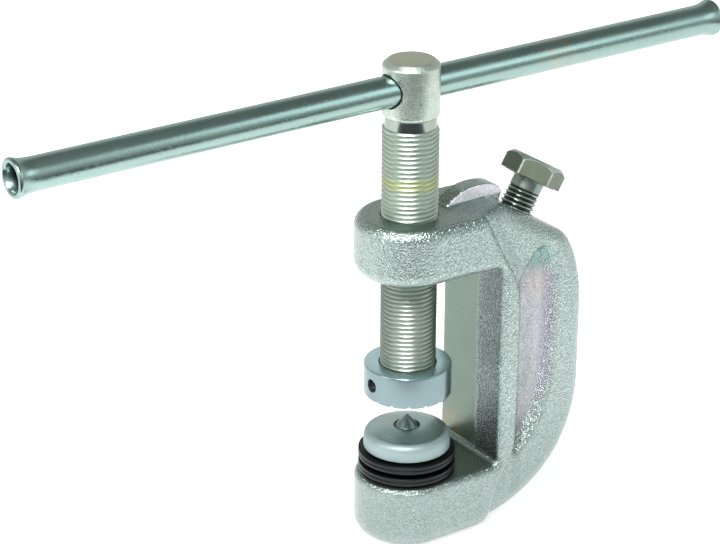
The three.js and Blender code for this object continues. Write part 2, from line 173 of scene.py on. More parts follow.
class SeparatorTurned(bpy.types.PropertyGroup):
    """Sizes and colours of the bar, the pad, the anvil and its springs."""

    groove_depth: length("Pad groove depth", "Depth of the radial grooves under the pad", 1.0)
    tool_mark: length("Tool mark", "Spacing of the marks that turning leaves", 0.35)
    bar_zinc: colour("Bar zinc", "Bright zinc on the tommy bar", (0.28, 0.39, 0.365))
    pad_steel: colour("Pad steel", "Turned steel of the pressure pad", (0.205, 0.275, 0.29))
    anvil_steel: colour("Anvil steel", "Pale steel of the anvil", (0.285, 0.36, 0.365))
    spring_black: colour("Spring black", "Phosphated disc springs", (0.006, 0.008, 0.008))


# ---- outlines and surfaces -----------------------------------------------------------------------------
def ease(value, low, high):
    """Smoothstep: 0 below low, 1 above high, 3t^2 - 2t^3 between."""
    t = np.clip((value - low) / (high - low), 0, 1)
    return t * t * (3 - 2 * t)


def mix(a, b, share):
    """The value a share of the way from a to b."""
    return a + (b - a) * share


def column(values):
    """A row of numbers stood up as a column."""
    return values[:, None]


def line(start, end):
    """Straight line from start to end as a function of t from 0 to 1."""
    start, end = np.array(start), np.array(end)
    return lambda t: start + np.outer(t, end - start)


def bend(*corners):
    """Cubic Bezier curve on four corners, as a function of t from 0 to 1."""
    a, b, c, d = np.array(corners, float)
    return lambda t: (np.outer((1 - t) ** 3, a) + np.outer(3 * t * (1 - t) ** 2, b)
                      + np.outer(3 * t * t * (1 - t), c) + np.outer(t ** 3, d))


def arc(centre, radius, start, end):
    """Circular arc as a function of t from 0 to 1."""
    def place(t):
        angle = mix(start, end, t)
        return np.column_stack([centre[0] + radius * np.cos(angle), centre[1] + radius * np.sin(angle)])
    return place


def stretch(curve, start, end):
    """The part of a curve between two of its parameters."""
    return lambda t: curve(mix(start, end, t))


def rounded(corners, closed=False, steps=5):
    """Outline through (r, z, trim) corners. Each corner is cut back by trim on both sides, and a quadratic
    curve (1-t)^2 A + 2t(1-t) C + t^2 B joins the cuts A and B with the corner C as its handle."""
    corners = np.array(corners, float)
    places, trims = corners[:, :2], corners[:, 2]
    t = np.linspace(0, 1, steps + 1)[:, None]
    outline = []
    for i, (corner, trim) in enumerate(zip(places, trims)):
        if trim == 0 or (not closed and i in (0, len(places) - 1)):
            outline.append(corner[None])
            continue
        before, after = places[i - 1] - corner, places[(i + 1) % len(places)] - corner
        start = corner + before / np.hypot(*before) * trim
        end = corner + after / np.hypot(*after) * trim
        outline.append((1 - t) ** 2 * start + 2 * t * (1 - t) * corner + t ** 2 * end)
    if closed:
        outline.append(outline[0][:1])
    return np.vstack(outline)


def turned(profile, segments=96):
    """Surface of revolution: a profile point (r, z) goes round the axis through one turn."""
    radius, height = np.array(profile, float).T
    return from_polar(column(radius), np.linspace(0, TURN, segments + 1), column(height))


def from_polar(radius, angle, height):
    """Grid of points (r cos a, r sin a, z) from three arrays of one shape."""
    radius, angle, height = np.broadcast_arrays(radius, angle, height)
    return np.stack([radius * np.cos(angle), radius * np.sin(angle), height], axis=-1)


def along_x(points, height=0.0):
    """Lays a surface made round Z along +X at the given height: (x, y, z) goes to (z, y, height - x)."""
    return np.stack([points[..., 2], points[..., 1], height - points[..., 0]], axis=-1)


def on_bolt_axis(points):
    """Turns a surface made round Z by the facet's tilt about Y and moves its origin to the bolt's seat."""
    c, s = math.cos(FACET_TILT), math.sin(FACET_TILT)
    x, y, z = np.moveaxis(points, -1, 0)
    return np.stack([FACET_X + x * c + z * s, y, FACET_Z - x * s + z * c], axis=-1)


def thread(radius, depth, pitch, low, high, angle, start=0.0, per_turn=8):
    """Screw thread as a sheared grid: row k at angle a stands at height pitch (k / per_turn + a / turn), cut
    off at both ends. The radius is the crest's less the depth times a V with a flat crest and a flat root,
    and a 45 degree lead-in at each end."""
    rows = np.arange(-per_turn, (high - low) / pitch * per_turn + per_turn)[:, None]
    height = np.clip(low + pitch * (rows / per_turn + (angle - start) / TURN), low, high)
    phase = ((height - low) / pitch - (angle - start) / TURN) % 1.0
    valley = np.clip((np.abs(2 * phase - 1) - 0.14) / 0.6, 0, 1)
    root = radius - depth
    lead = root + np.minimum(height - low, high - height)
    return np.minimum(radius - depth * valley, lead), height


def hexagon(angle, across, corner_r, clocking):
    """Polar radius of a hexagon with trimmed corners: half the width over the cosine of the angle from the
    nearest flat's middle, and no more than corner_r."""
    off = (angle - clocking + math.pi / 6) % (math.pi / 3) - math.pi / 6
    return np.minimum(across / 2 / np.cos(off), corner_r)


def grid_faces(rows, columns, first):
    """Quads of a grid of points that are numbered row by row from first."""
    corner = first + (np.arange(rows - 1)[:, None] * columns + np.arange(columns - 1)).ravel()
    return np.column_stack([corner, corner + 1, corner + columns + 1, corner + columns])


def make_piece(name, grids, crease=32):
    """One mesh object from grids of points in millimetres. Points that share a place are welded, which closes
    seams and poles, and the faces are turned outwards. Edges sharper than crease degrees stay sharp."""
    points, faces, count = [], [], 0
    for grid in grids:
        rows, columns, _ = grid.shape
        points.append(grid.reshape(-1, 3) * MM)
        faces.append(grid_faces(rows, columns, count))
        count += rows * columns
    mesh = bpy.data.meshes.new(name)
    mesh.from_pydata(np.vstack(points).tolist(), [], np.vstack(faces).tolist())
    shape = bmesh.new()
    shape.from_mesh(mesh)
    bmesh.ops.remove_doubles(shape, verts=shape.verts, dist=0.002 * MM)
    bmesh.ops.recalc_face_normals(shape, faces=shape.faces)
    shape.to_mesh(mesh)
    shape.free()
    smooth(mesh, crease)
    piece = bpy.data.objects.new(name, mesh)
    bpy.context.scene.collection.objects.link(piece)
    return piece


def smooth(mesh, crease):
    """Smooth shading, with edges sharper than crease degrees kept sharp."""
    mesh.shade_smooth()
    mesh.set_sharp_from_angle(angle=math.radians(crease))


def join_or_cut(piece, other, operation, crease=32):
    """Unites piece with another closed mesh or cuts it by it, and keeps only the result."""
    change = piece.modifiers.new(operation.title(), "BOOLEAN")
    change.object, change.operation, change.solver = other, operation, "MANIFOLD"
    depsgraph = bpy.context.evaluated_depsgraph_get()
    result = bpy.data.meshes.new_from_object(piece.evaluated_get(depsgraph))
    if len(result.polygons) == 0:
        raise RuntimeError(f"{operation} left nothing of {piece.name}")
    piece.modifiers.clear()
    old, piece.data = piece.data, result
    name = old.name
    bpy.data.meshes.remove(old)
    result.name = name
    bpy.data.objects.remove(other)
    smooth(result, crease)


def settle(piece, body, slot, material, *nodes):
    """Gives a finished piece its material and says what it rides on and stands for."""
    piece.data.materials.clear()
    piece.data.materials.append(material)
    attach(piece, body)
    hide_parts(*nodes)


# ---- shader building -----------------------------------------------------------------------------------
class Signal:
    """A shader socket that takes part in Python arithmetic. Each operation adds one Math node."""

    def __init__(self, nodes, socket):
        self.nodes = nodes
        self.socket = socket

    def _math(self, operation, *values):
        return self.nodes.node("ShaderNodeMath", {"operation": operation}, dict(enumerate(values)))

    def __add__(self, other):
        return self._math("ADD", self, other)

    def __sub__(self, other):
        return self._math("SUBTRACT", self, other)

    def __rsub__(self, other):
        return self._math("SUBTRACT", other, self)

    def __mul__(self, other):
        return self._math("MULTIPLY", self, other)

    def __truediv__(self, other):
        return self._math("DIVIDE", self, other)

    def __pow__(self, other):
        return self._math("POWER", self, other)

    def __abs__(self):
        return self._math("ABSOLUTE", self)

    __radd__ = __add__
    __rmul__ = __mul__


class NodeTree:
    """A shader tree whose nodes are added one by one."""

    def __init__(self, tree):
        self.tree = tree

    def node(self, kind, settings=None, values=None, output=0):
        """Adds a node, sets its settings, then its input values or links, and gives one of its outputs."""
        made = self.tree.nodes.new(kind)
        for key, value in (settings or {}).items():
            if key == "stops":
                self._set_stops(made.color_ramp, value)
            else:
                setattr(made, key, value)
        for key, value in (values or {}).items():
            self.feed(made.inputs[key], value)
        return Signal(self, made.outputs[output])

    def _set_stops(self, ramp, stops):
        """Gives a colour ramp its (position, colour) stops."""
        while len(ramp.elements) < len(stops):
            ramp.elements.new(0.5)
        for element, (position, tone) in zip(ramp.elements, stops):
            element.position = position
            element.color = (*tone, 1.0)

    def feed(self, socket, value):
        """Links a signal to an input socket, or sets a constant there."""
        if isinstance(value, Signal):
            self.tree.links.new(value.socket, socket)
        else:
            socket.default_value = value


class Finish(NodeTree):
    """One material. Its methods add nodes; paint() joins them to the shader."""

    def __init__(self, name):
        self.material = bpy.data.materials.new(name)
        self.material.use_nodes = True
        super().__init__(self.material.node_tree)
        self.shader = self.tree.nodes["Principled BSDF"]
        self.place = self.node("ShaderNodeTexCoord", output="Object")

    def axes(self, vector=None):
        """The three parts of a vector in millimetres; the object's own place by default."""
        in_mm = self.node("ShaderNodeVectorMath", {"operation": "SCALE"},
                          {0: vector or self.place, "Scale": 1 / MM})
        return [self.node("ShaderNodeSeparateXYZ", values={0: in_mm}, output=k) for k in range(3)]

    def stretched(self, x, y, z):
        """The place with each axis multiplied, for streaks."""
        return self.node("ShaderNodeVectorMath", {"operation": "MULTIPLY"}, {0: self.place, 1: (x, y, z)})

    def radius(self, a, b):
        """Distance from the origin: the root of a^2 + b^2."""
        return (a ** 2.0 + b ** 2.0) ** 0.5

    def noise(self, size, detail=2.0, roughness=0.5, vector=None):
        """Noise from 0 to 1 with features about size metres across."""
        return self.node("ShaderNodeTexNoise", {"noise_dimensions": "3D"},
                         {"Vector": vector or self.place, "Scale": 1 / size, "Detail": detail,
                          "Roughness": roughness})

    def rise(self, value, low, high):
        """Smooth step of a value from 0 at low to 1 at high; low may be the larger."""
        return self.node("ShaderNodeMapRange", {"interpolation_type": "SMOOTHSTEP"},
                         {"Value": value, "From Min": low, "From Max": high})

    def window(self, value, enter, leave):
        """1 between two smooth steps: enter rises with the value and leave falls with it."""
        return self.rise(value, *enter) * self.rise(value, *leave)

    def spot(self, x, z, centre, squash, outer, inner):
        """1 within inner millimetres of a centre and 0 beyond outer, with heights multiplied by squash."""
        return self.rise(self.radius(x - centre[0], (z - centre[1]) * squash), outer, inner)

    def tint(self, share, below, above):
        """Colour mixed from below to above by share."""
        ends = {socket: tone if isinstance(tone, Signal) else (*tone, 1.0)
                for socket, tone in ((6, below), (7, above))}
        return self.node("ShaderNodeMix", {"data_type": "RGBA"}, {0: share, **ends}, output=2)

    def bump(self, height, distance, under=None):
        """Normal bent by a height from 0 to 1 that stands for distance metres."""
        values = {"Height": height, "Distance": distance}
        if under:
            values["Normal"] = under
        return self.node("ShaderNodeBump", values=values)

    def paint(self, tone, roughness, metallic=1.0, normal=None, **constants):
        """Feeds the shader and gives the material."""
        inputs = {"Base Color": tone, "Roughness": roughness, "Metallic": metallic, **constants}
        if normal:
            inputs["Normal"] = normal
        for key, value in inputs.items():
            self.feed(self.shader.inputs[key], value)
        return self.material


def scaled(tone, factor):
    """A colour made darker or lighter in Python."""
    return tuple(min(1.0, part * factor) for part in tone)


# ---- the forging's finish ------------------------------------------------------------------------------
def milled_faces(finish, x, y, z, wander):
    """Shares of the four milled faces: the eye's top, the foot, the throat's strip and the jaw's top."""
    eye_top = (finish.window(z, (ARM_TOP - 0.35, ARM_TOP - 0.15), (ARM_TOP + 0.5, ARM_TOP + 0.3))
               * finish.rise(x + wander * 3, 24, 11))
    foot = finish.rise(z, 0.4, 0.2)
    strip = (finish.window(x, (THROAT - 6, THROAT - 3), (THROAT + 0.5, THROAT + 0.2))
             * finish.rise(y + wander * 2, -5.5, -3.0)
             * finish.window(z, (JAW_TOP + 0.6, JAW_TOP + 2.6), (ARM_BOTTOM - 0.6, ARM_BOTTOM - 4)))
    jaw_top = (finish.window(z, (JAW_TOP - 0.5, JAW_TOP - 0.3), (JAW_TOP + 0.5, JAW_TOP + 0.3))
               * finish.rise(x, THROAT, THROAT - 2))
    return eye_top, foot, strip, jaw_top


def shade_throat(finish, tone, x, z):
    """Darkens the rough strip that faces into the throat with painted shade."""
    recess = (finish.window(x, (THROAT - 6, THROAT - 3), (THROAT + 0.6, THROAT - 0.1))
              * finish.window(z, (JAW_TOP, JAW_TOP + 2), (ARM_BOTTOM, ARM_BOTTOM - 3)))
    return finish.tint(recess * 0.85, tone, THROAT_SHADE)


def tint_pocket(finish, look, tone, x, side, z):
    """Passivation in the pocket: pink floor, violet wall, cyan tip and a rose patch below the tip."""
    sunk = (finish.rise(side, RIB_HALF - 1.2, POCKET_HALF + 0.5)
            * finish.rise(x, 44, 47) * finish.rise(z, 150, 130))
    cloud = finish.rise(finish.noise(14 * MM, 2, 0.5), 0.3, 0.75)
    tone = finish.tint(sunk * (0.45 + cloud * 0.4), tone, look.pink)
    wall = (finish.window(side, (POCKET_HALF + 0.2, POCKET_HALF + 3), (RIB_HALF + 0.4, RIB_HALF - 3.0))
            * finish.rise(x, 57, 61) * finish.window(z, (36, 55), (118, 105)))
    tone = finish.tint(wall * 0.5, tone, look.violet)
    tip = finish.spot(x, z, (58, 119), 0.8, 7.5, 2.0) * finish.rise(side, 20.5, 18)
    tone = finish.tint(tip * 0.85, tone, look.cyan)
    below_tip = finish.spot(x, z, (59, 106), 0.7, 8.0, 1.0) * sunk
    return sunk, finish.tint(below_tip * 0.35, tone, ROSE_FILM)


def tint_lug(finish, look, tone, x, side, z):
    """Pale film on the lug's sides, and a milled tone on the front of its crown."""
    lug = finish.rise(z, ARM_TOP + 0.6, ARM_TOP + 1.2)
    lug_side = lug * finish.rise(side, LUG_HALF - 0.35, LUG_HALF - 0.1)
    tone = finish.tint(lug_side * 0.9, tone, scaled(look.pink, 1.55))
    crown = lug * finish.rise(side, LUG_HALF - 0.1, LUG_HALF - 0.35) * finish.rise(x, 27, 21)
    return lug_side, finish.tint(crown, tone, scaled(look.machined, 1.05))


def sparkle(finish, look, tone):
    """Random bright and dark specks in the zinc's colour, finer than its dimples: the bright ones are painted
    glints and the dark ones painted shade, for the sparkle of the blasted facets.
    """
    speckle = finish.noise(look.grain * 0.6, 0, 0.5)
    tone = finish.tint(finish.rise(speckle, 0.5, 0.75) * 0.4, tone, finish.tint(0.55, tone, WHITE))
    return finish.tint(finish.rise(speckle, 0.5, 0.25) * 0.45, tone, finish.tint(0.7, tone, SPECK_SHADE))


def shade_step(finish, look, tone, x, side, z):
    """Darkens the foot of the step between band and rib with painted shade. The step's straight part runs
    between two points of its outline, and the distance past that line gives how far a place lies beyond the
    step."""
    (x_from, z_from), (x_to, z_to) = OUTER_ZONE[1], OUTER_ZONE[4]
    run, fall = x_to - x_from, z_from - z_to
    past_line = ((x - x_from) * fall + (z - z_from) * run) / math.hypot(run, fall)
    beyond = finish.node("ShaderNodeMath", {"operation": "MAXIMUM"}, {0: past_line, 1: x - 42.5})
    foot = (finish.window(side, (RIB_HALF - 0.3, RIB_HALF + 0.4), (RIB_HALF + 2.2, RIB_HALF + 1.0))
            * finish.window(beyond, (0.0, 1.0), (6.0, 4.5)))
    return finish.tint(foot * 0.45, tone, scaled(look.zinc, 0.35))


def zinc_forging(look):
    """Blasted and zinc-plated forging: dimpled and sparkling all over, with smooth milled faces and the
    coloured film of passivation in the pockets and on the lug."""
    finish = Finish("zinc_plated_forging")
    x, y, z = finish.axes()
    side = abs(y)
    drift = finish.noise(6 * MM, 3, 0.55)
    eye_top, foot, strip, jaw_top = milled_faces(finish, x, y, z, (drift - 0.5) * 2.0)
    milled = eye_top * 0.55 + foot + strip + jaw_top * 0.55

    tone = finish.tint(drift, scaled(look.zinc, 0.93), scaled(look.zinc, 1.07))
    tone = shade_throat(finish, tone, x, z)
    sunk, tone = tint_pocket(finish, look, tone, x, side, z)
    lug_side, tone = tint_lug(finish, look, tone, x, side, z)
    tone = sparkle(finish, look, tone)
    tone = shade_step(finish, look, tone, x, side, z)
    # Painted shade: the forging is darker towards the bottom, below 80 mm, except on the jaw's top.
    tone = finish.tint(finish.rise(z, 80, 5) * (1 - jaw_top) * 0.45, tone, scaled(look.zinc, 0.4))
    cutter_marks = finish.noise(1.1 * MM, 3, 0.6, finish.stretched(1, 0.12, 1))
    machined = finish.tint(cutter_marks, scaled(look.machined, 0.85), scaled(look.machined, 1.2))
    tone = finish.tint(milled, tone, machined)
    stain = finish.rise(finish.noise(10 * MM, 2), 0.45, 0.7) * strip * finish.rise(abs(z - 76), 24, 44)
    tone = finish.tint(stain * 0.5, tone, OIL_STAIN)

    fine = finish.noise(look.grain * 0.5, 1, 0.5)
    dimples = finish.noise(look.grain, 1, 0.5)
    cells = finish.node("ShaderNodeTexVoronoi", {"feature": "SMOOTH_F1"},
                        {"Vector": finish.place, "Scale": 0.8 / look.grain, "Smoothness": 0.35})
    height = dimples * 0.8 + cells * 0.2 + fine * 0.45
    dimpled = finish.bump(height * (1 - milled * 0.96), look.grain_depth * 4.4)
    normal = finish.bump(cutter_marks * milled, 0.02 * MM, dimpled)
    film = finish.rise(sunk + lug_side, 0.0, 1.0)
    roughness = 0.1 + fine * 0.07 + milled * 0.16 + film * 0.12
    return finish.paint(tone, roughness, 0.94 - sunk * 0.3 - lug_side * 0.4, normal)


# ---- finishes of the turned and drawn parts ------------------------------------------------------------
def threaded_steel(name, base, root_shade, crest_r, depth, roughness, band, matte_above):
    """Plated screw: bright crests, roots darkened with painted shade, a coloured film in a band of heights,
    a polished neck, and a mottled matte head above a height."""
    finish = Finish(name)
    x, y, z = finish.axes()
    radius = finish.radius(x, y)
    crest = finish.rise(radius, crest_r - depth, crest_r - 0.1)
    cloud = finish.noise(4 * MM, 3, 0.6)
    speck = finish.noise(0.6 * MM, 2, 0.6)
    grit = finish.rise(finish.noise(0.7 * MM, 2, 0.6), 0.4, 0.6)
    matte = finish.rise(z, matte_above - 0.2, matte_above + 0.4)
    polished = finish.rise(z, matte_above - 5.2, matte_above - 4.4) * (1 - matte)

    # Painted shade: the thread's roots are darker than its crests.
    tone = finish.tint(crest, root_shade, finish.tint(cloud, scaled(base, 0.86), scaled(base, 1.12)))
    low, high, film = band
    edge = z + (cloud - 0.5) * 5.0
    ring = finish.window(edge, (low - 2, low), (high + 2, high))
    tone = finish.tint(ring * 0.4, tone, film)
    tone = finish.tint(matte * grit * 0.35, tone, scaled(base, 0.62))
    crown = finish.rise(z, SPINDLE_TOP - 0.3, SPINDLE_TOP - 0.05) * finish.rise(radius, 10.5, 7.0)
    tone = finish.tint(crown * (0.4 + cloud * 0.5), tone, OLIVE_FILM)
    # Painted shade: the spindle is darker below the arm, under 116 to 128 mm.
    tone = finish.tint(finish.rise(z, 128, 116) * 0.6, tone, scaled(base, 0.4))
    tone = finish.tint(polished, tone, scaled(base, 0.56))

    height = speck * 0.6 + cloud * 0.4 + matte * grit * 1.8
    normal = finish.bump(height * (1 - polished * 0.9), 0.03 * MM)
    worn = speck * 0.16 + (1 - crest) * 0.1 * (1 - polished) - matte * 0.06
    return finish.paint(tone, (roughness + worn) * (1 - polished * 0.5), 0.95, normal)


def bright_bar(look):
    """Drawn tube with bright zinc: fine streaks along the bar, scuffs, and a brown smudge past the head."""
    finish = Finish("bright_zinc")
    x, y, z = finish.axes()
    streaks = finish.noise(1.2 * MM, 2, 0.55, finish.stretched(0.03, 1, 1))
    cloud = finish.noise(12 * MM, 3, 0.6, finish.stretched(0.4, 1, 1))
    scuffs = finish.rise(finish.noise(0.9 * MM, 3, 0.7, finish.stretched(0.35, 1, 1)), 0.62, 0.72)
    tone = finish.tint(cloud, scaled(look.bar_zinc, 0.88), scaled(look.bar_zinc, 1.1))
    smudge = finish.rise(abs(x - 74), 16, 4) * finish.rise(finish.noise(4 * MM, 3), 0.42, 0.62)
    tone = finish.tint(smudge * 0.45, tone, BAR_SMUDGE)
    # Painted shade inside the tube's bore.
    inside = finish.rise(finish.radius(z - BAR_Z, y), 5.6, 4.9)
    tone = finish.tint(inside, tone, BORE_SHADE)
    normal = finish.bump(streaks * 0.7 + scuffs * 0.4 + finish.noise(1.4 * MM, 1) * 0.8, 0.035 * MM)
    return finish.paint(tone, 0.2 + cloud * 0.14 + scuffs * 0.12 + inside * 0.3, 0.97, normal)


def turned_steel(name, base, mark, roughness, metallic=0.95, face_from=None, face_tone=None, face_marks=1.0,
                 joint_r=0.0):
    """Steel off the lathe: marks in rings round the axis on faces and along it on walls. Above face_from it
    has the face's own tone, smoother and more deeply marked, with a dark joint line round joint_r."""
    finish = Finish(name)
    x, y, z = finish.axes()
    radius = finish.radius(x, y)
    rings = finish.node("ShaderNodeCombineXYZ", values={0: radius, 1: z})
    marks = finish.noise(mark / MM, 2, 0.6, rings)
    cloud = finish.noise(8 * MM, 3, 0.55)
    tone = finish.tint(cloud, scaled(base, 0.9), scaled(base, 1.08))
    tone = finish.tint(marks * 0.2, tone, scaled(base, 0.8))
    depth = 0.2
    if face_tone:
        face = finish.rise(z, face_from - 0.25, face_from + 0.05)
        tone = finish.tint(face, tone, face_tone)
        joint = face * finish.rise(radius, joint_r + 1.0, joint_r + 0.3)
        tone = finish.tint(joint, tone, scaled(face_tone, 0.12))
        depth = face * face_marks + 0.2
        roughness = roughness + face * (0.2 - roughness)
        metallic = metallic + face * (0.95 - metallic)
    normal = finish.bump(marks * depth, 0.012 * MM)
    return finish.paint(tone, roughness + cloud * 0.06 + marks * 0.06, metallic, normal)


def black_spring(look):
    """Phosphated spring steel, greyer where the rims have rubbed."""
    finish = Finish("black_spring_steel")
    x, y, _ = finish.axes()
    speck = finish.noise(0.7 * MM, 3, 0.6)
    rim = finish.rise(finish.radius(x, y), 20.7, 21.0)
    tone = finish.tint(rim * (0.25 + speck * 0.4), look.spring_black, RUBBED_BLACK)
    return finish.paint(tone, 0.33 + speck * 0.12, 0.8, finish.bump(speck, 0.02 * MM))


def oiled_steel(name, tone, roughness, metallic):
    """Small plain steel parts: a cloud of tone over fine specks."""
    finish = Finish(name)
    cloud = finish.noise(3 * MM, 3, 0.6)
    speck = finish.noise(0.8 * MM, 2, 0.6)
    shade = finish.tint(cloud, scaled(tone, 0.8), scaled(tone, 1.2))
    return finish.paint(shade, roughness + speck * 0.12, metallic, finish.bump(speck, 0.015 * MM))


# ---- forged C-frame ------------------------------------------------------------------------------------
def softened(outline, spacing, rounds):
    """Walks a closed outline at even spacing, then moves each point to the mean of itself, counted twice, and
    its two neighbours. Each round of that makes the corners rounder."""
    ring = np.array([*outline, outline[0]], float)
    run = np.concatenate([[0], np.cumsum(np.hypot(*np.diff(ring, axis=0).T))])
    places = np.linspace(0, run[-1], int(run[-1] / spacing), endpoint=False)
    points = np.column_stack([np.interp(places, run, ring[:, k]) for k in (0, 1)])
    for _ in range(rounds):
        points = (np.roll(points, 1, 0) + 2 * points + np.roll(points, -1, 0)) / 4
    return points


def depth_in(outline, x, z):
    """Distance from points to a closed outline, positive inside it: the least distance to its segments,
    signed by the parity of its crossings with a ray along X."""
    start, end = outline, np.roll(outline, -1, axis=0)
    step = end - start
    x, z = x[..., None], z[..., None]
    t = np.clip(((x - start[:, 0]) * step[:, 0] + (z - start[:, 1]) * step[:, 1]) / (step ** 2).sum(1), 0, 1)
    nearest = np.hypot(x - start[:, 0] - t * step[:, 0], z - start[:, 1] - t * step[:, 1]).min(-1)
    level = np.where(step[:, 1] == 0, 1.0, step[:, 1])
    straddles = (start[:, 1] > z) != (end[:, 1] > z)
    crossed = straddles & (x < start[:, 0] + (z - start[:, 1]) * step[:, 0] / level)
    return np.where(crossed.sum(-1) % 2 == 1, nearest, -nearest)


def half_width(x, z):
    """Half the forging's width at places on its flank: the band's width, a quarter-round step down to the rib
    with a small fillet at its foot, less the pocket's smooth sink."""
    arms = mix(JAW_HALF, EYE_HALF, ease(z, JAW_TOP, ARM_BOTTOM))
    band = mix(arms, SPINE_HALF, ease(x, 22, THROAT))
    rise = np.clip(-depth_in(softened(OUTER_ZONE, 2.5, 3), x, z) / SHOULDER, 0, 1)
    step = np.sqrt(1 - (1 - rise) ** 2) * ease(rise, -0.02, 0.22)
    sink = ease(depth_in(softened(POCKET, 2.0, 2), x, z), -2.6, POCKET_WALL + 0.6)
    return RIB_HALF + (band - RIB_HALF) * step - (RIB_HALF - POCKET_HALF) * sink


def forging_stations():
    """Lines across the C from its mouth to its outside, as two arrays of (x, z) places and an array of turns.
    Spans follow the mouth and the outside together; at the round ends the line turns about the axis."""
    upper_r, lower_r, start, end = 4.0, 2.5, 37.0, 70.5
    straight_from, straight_to = 92, 60

    def facet(x):
        return FACET_Z - math.tan(FACET_TILT) * (x - FACET_X)

    heel = bend((BACK, straight_to), (BACK, 18.5), (50, 0), (22, 0))
    spans = [
        (line((0, ARM_BOTTOM), (22, ARM_BOTTOM)), line((0, ARM_TOP), (24, ARM_TOP)), 24),
        (line((22, ARM_BOTTOM), (THROAT - upper_r, ARM_BOTTOM)),
         line((24, ARM_TOP), (start, facet(start))), 14),
        (arc((THROAT - upper_r, ARM_BOTTOM - upper_r), upper_r, QUARTER, 0),
         line((start, facet(start)), (end, facet(end))), 36),
        (line((THROAT, ARM_BOTTOM - upper_r), (THROAT, straight_from)),
         bend((end, facet(end)), (77, 124.7), (BACK, 108.7), (BACK, straight_from)), 32),
        (line((THROAT, straight_from), (THROAT, straight_to)),
         line((BACK, straight_from), (BACK, straight_to)), 26),
        (line((THROAT, straight_to), (THROAT, JAW_TOP + lower_r)), stretch(heel, 0, 0.5), 40),
        (arc((THROAT - lower_r, JAW_TOP + lower_r), lower_r, 0, -QUARTER), stretch(heel, 0.5, 0.78), 28),
        (line((THROAT - lower_r, JAW_TOP), (20, JAW_TOP)), stretch(heel, 0.78, 1), 20),
        (line((20, JAW_TOP), (0, JAW_TOP)), line((22, 0), (0, 0)), 20),
    ]
    inner, outer = [], []
    for number, (mouth, outside, steps) in enumerate(spans):
        t = np.linspace(0, 1, steps + 1)[min(number, 1):]
        inner.append(mouth(t))
        outer.append(outside(t))
    inner, outer = np.vstack(inner), np.vstack(outer)
    tip = np.linspace(0, QUARTER, 33)[1:]
    turn = np.concatenate([tip[::-1], np.zeros(len(inner)), tip])
    ends = [len(tip), len(inner), len(tip)]
    index = np.repeat([0, -1, len(inner) - 1], ends)
    index[len(tip):-len(tip)] = np.arange(len(inner))
    return inner[index], outer[index], turn


def forging_surface():
    """The C's surface as a grid: station along it, and place s on the half section. With d measured from the
    mouth and W(d) the half width, a point is the station's place at d moved out by w, where w is W(d) on the
    flank, W - r (1 - sin a) with d = r (1 - cos a) on a round edge, and a share of W - r on the end faces."""
    inner, outer, turn = forging_stations()
    span = outer - inner
    total = np.hypot(*span.T)
    on_spine = ease(inner[:, 0], 15, 32)
    mouth_r = mix(mix(3, 6, ease(inner[:, 1], 60, 110)), 3.6, on_spine)
    top = ease(outer[:, 1], 60, 125)
    outside_r = mix(mix(7, 4.6, top), 8, ease(outer[:, 0], 26, mix(80, 42, top)))

    face = np.linspace(0, 1, 9)
    angle = np.linspace(0, QUARTER, 11)[1:]
    flank = np.linspace(0, 1, 66)[1:-1]
    turned_in = 1 - np.cos(angle)
    tucked = 1 - np.sin(angle)
    blank = np.zeros((len(total), 1))
    depth = np.hstack([
        blank + 0 * face,
        column(mouth_r) * turned_in,
        mix(column(mouth_r), column(total - outside_r), flank),
        column(total) - column(outside_r) * turned_in[::-1],
        column(total) + 0 * face,
    ])
    tuck = np.hstack([
        column(mouth_r) + 0 * face,
        column(mouth_r) * tucked,
        blank + 0 * flank,
        column(outside_r) * tucked[::-1],
        column(outside_r) + 0 * face,
    ])
    share = np.concatenate([face, np.ones(2 * len(angle) + len(flank)), face[::-1]])
    place = inner[:, None] + span[:, None] * (depth / column(total))[..., None]
    width = share * (half_width(place[..., 0], place[..., 1]) - tuck)
    x = place[..., 0] - width * np.sin(column(turn))
    y = width * np.cos(column(turn))
    half = np.stack([x, y, place[..., 1]], axis=-1)
    return half, half * np.array([1, -1, 1])


def lug_surface():
    """The rib on the arm: an outline in the XZ plane carried across Y, drawn in at both sides to round its
    edges, and closed by a fan from its middle."""
    t = np.linspace(0, 1, 28)
    crown = np.vstack([bend((16, 148), (20, 152), (25, LUG_TOP), (32, LUG_TOP))(t),
                       bend((32, LUG_TOP), (38, LUG_TOP), (45, 153), (45, 148.5))(t)[1:]])
    outline = np.vstack([[(15.5, 145)], crown, [(42.5, 141)], [(15.5, 145)]])
    middle = np.array([31.0, 147.5])
    inward = middle - outline
    inward /= np.hypot(*inward.T)[:, None]
    edge = 0.7
    angle = np.linspace(0, QUARTER, 6)
    insets = np.concatenate([edge * (1 - np.sin(angle)), edge * (1 - np.sin(angle[::-1]))])
    rise = -LUG_HALF + edge * (1 - np.cos(angle))
    levels = np.concatenate([rise, -rise[::-1]])
    rings = outline + inward * insets[:, None, None]
    rings = np.concatenate([0 * rings[:1] + middle, rings, 0 * rings[:1] + middle])
    levels = np.concatenate([levels[:1], levels, levels[-1:]])
    return np.stack([rings[..., 0], levels[:, None] + 0 * rings[..., 0], rings[..., 1]], axis=-1)


def rod_cutter(name, profile, place=None, segments=128):
    """A turned solid used to cut with, moved by place."""
    surface = turned(profile, segments)
    return make_piece(name, [place(surface) if place else surface])


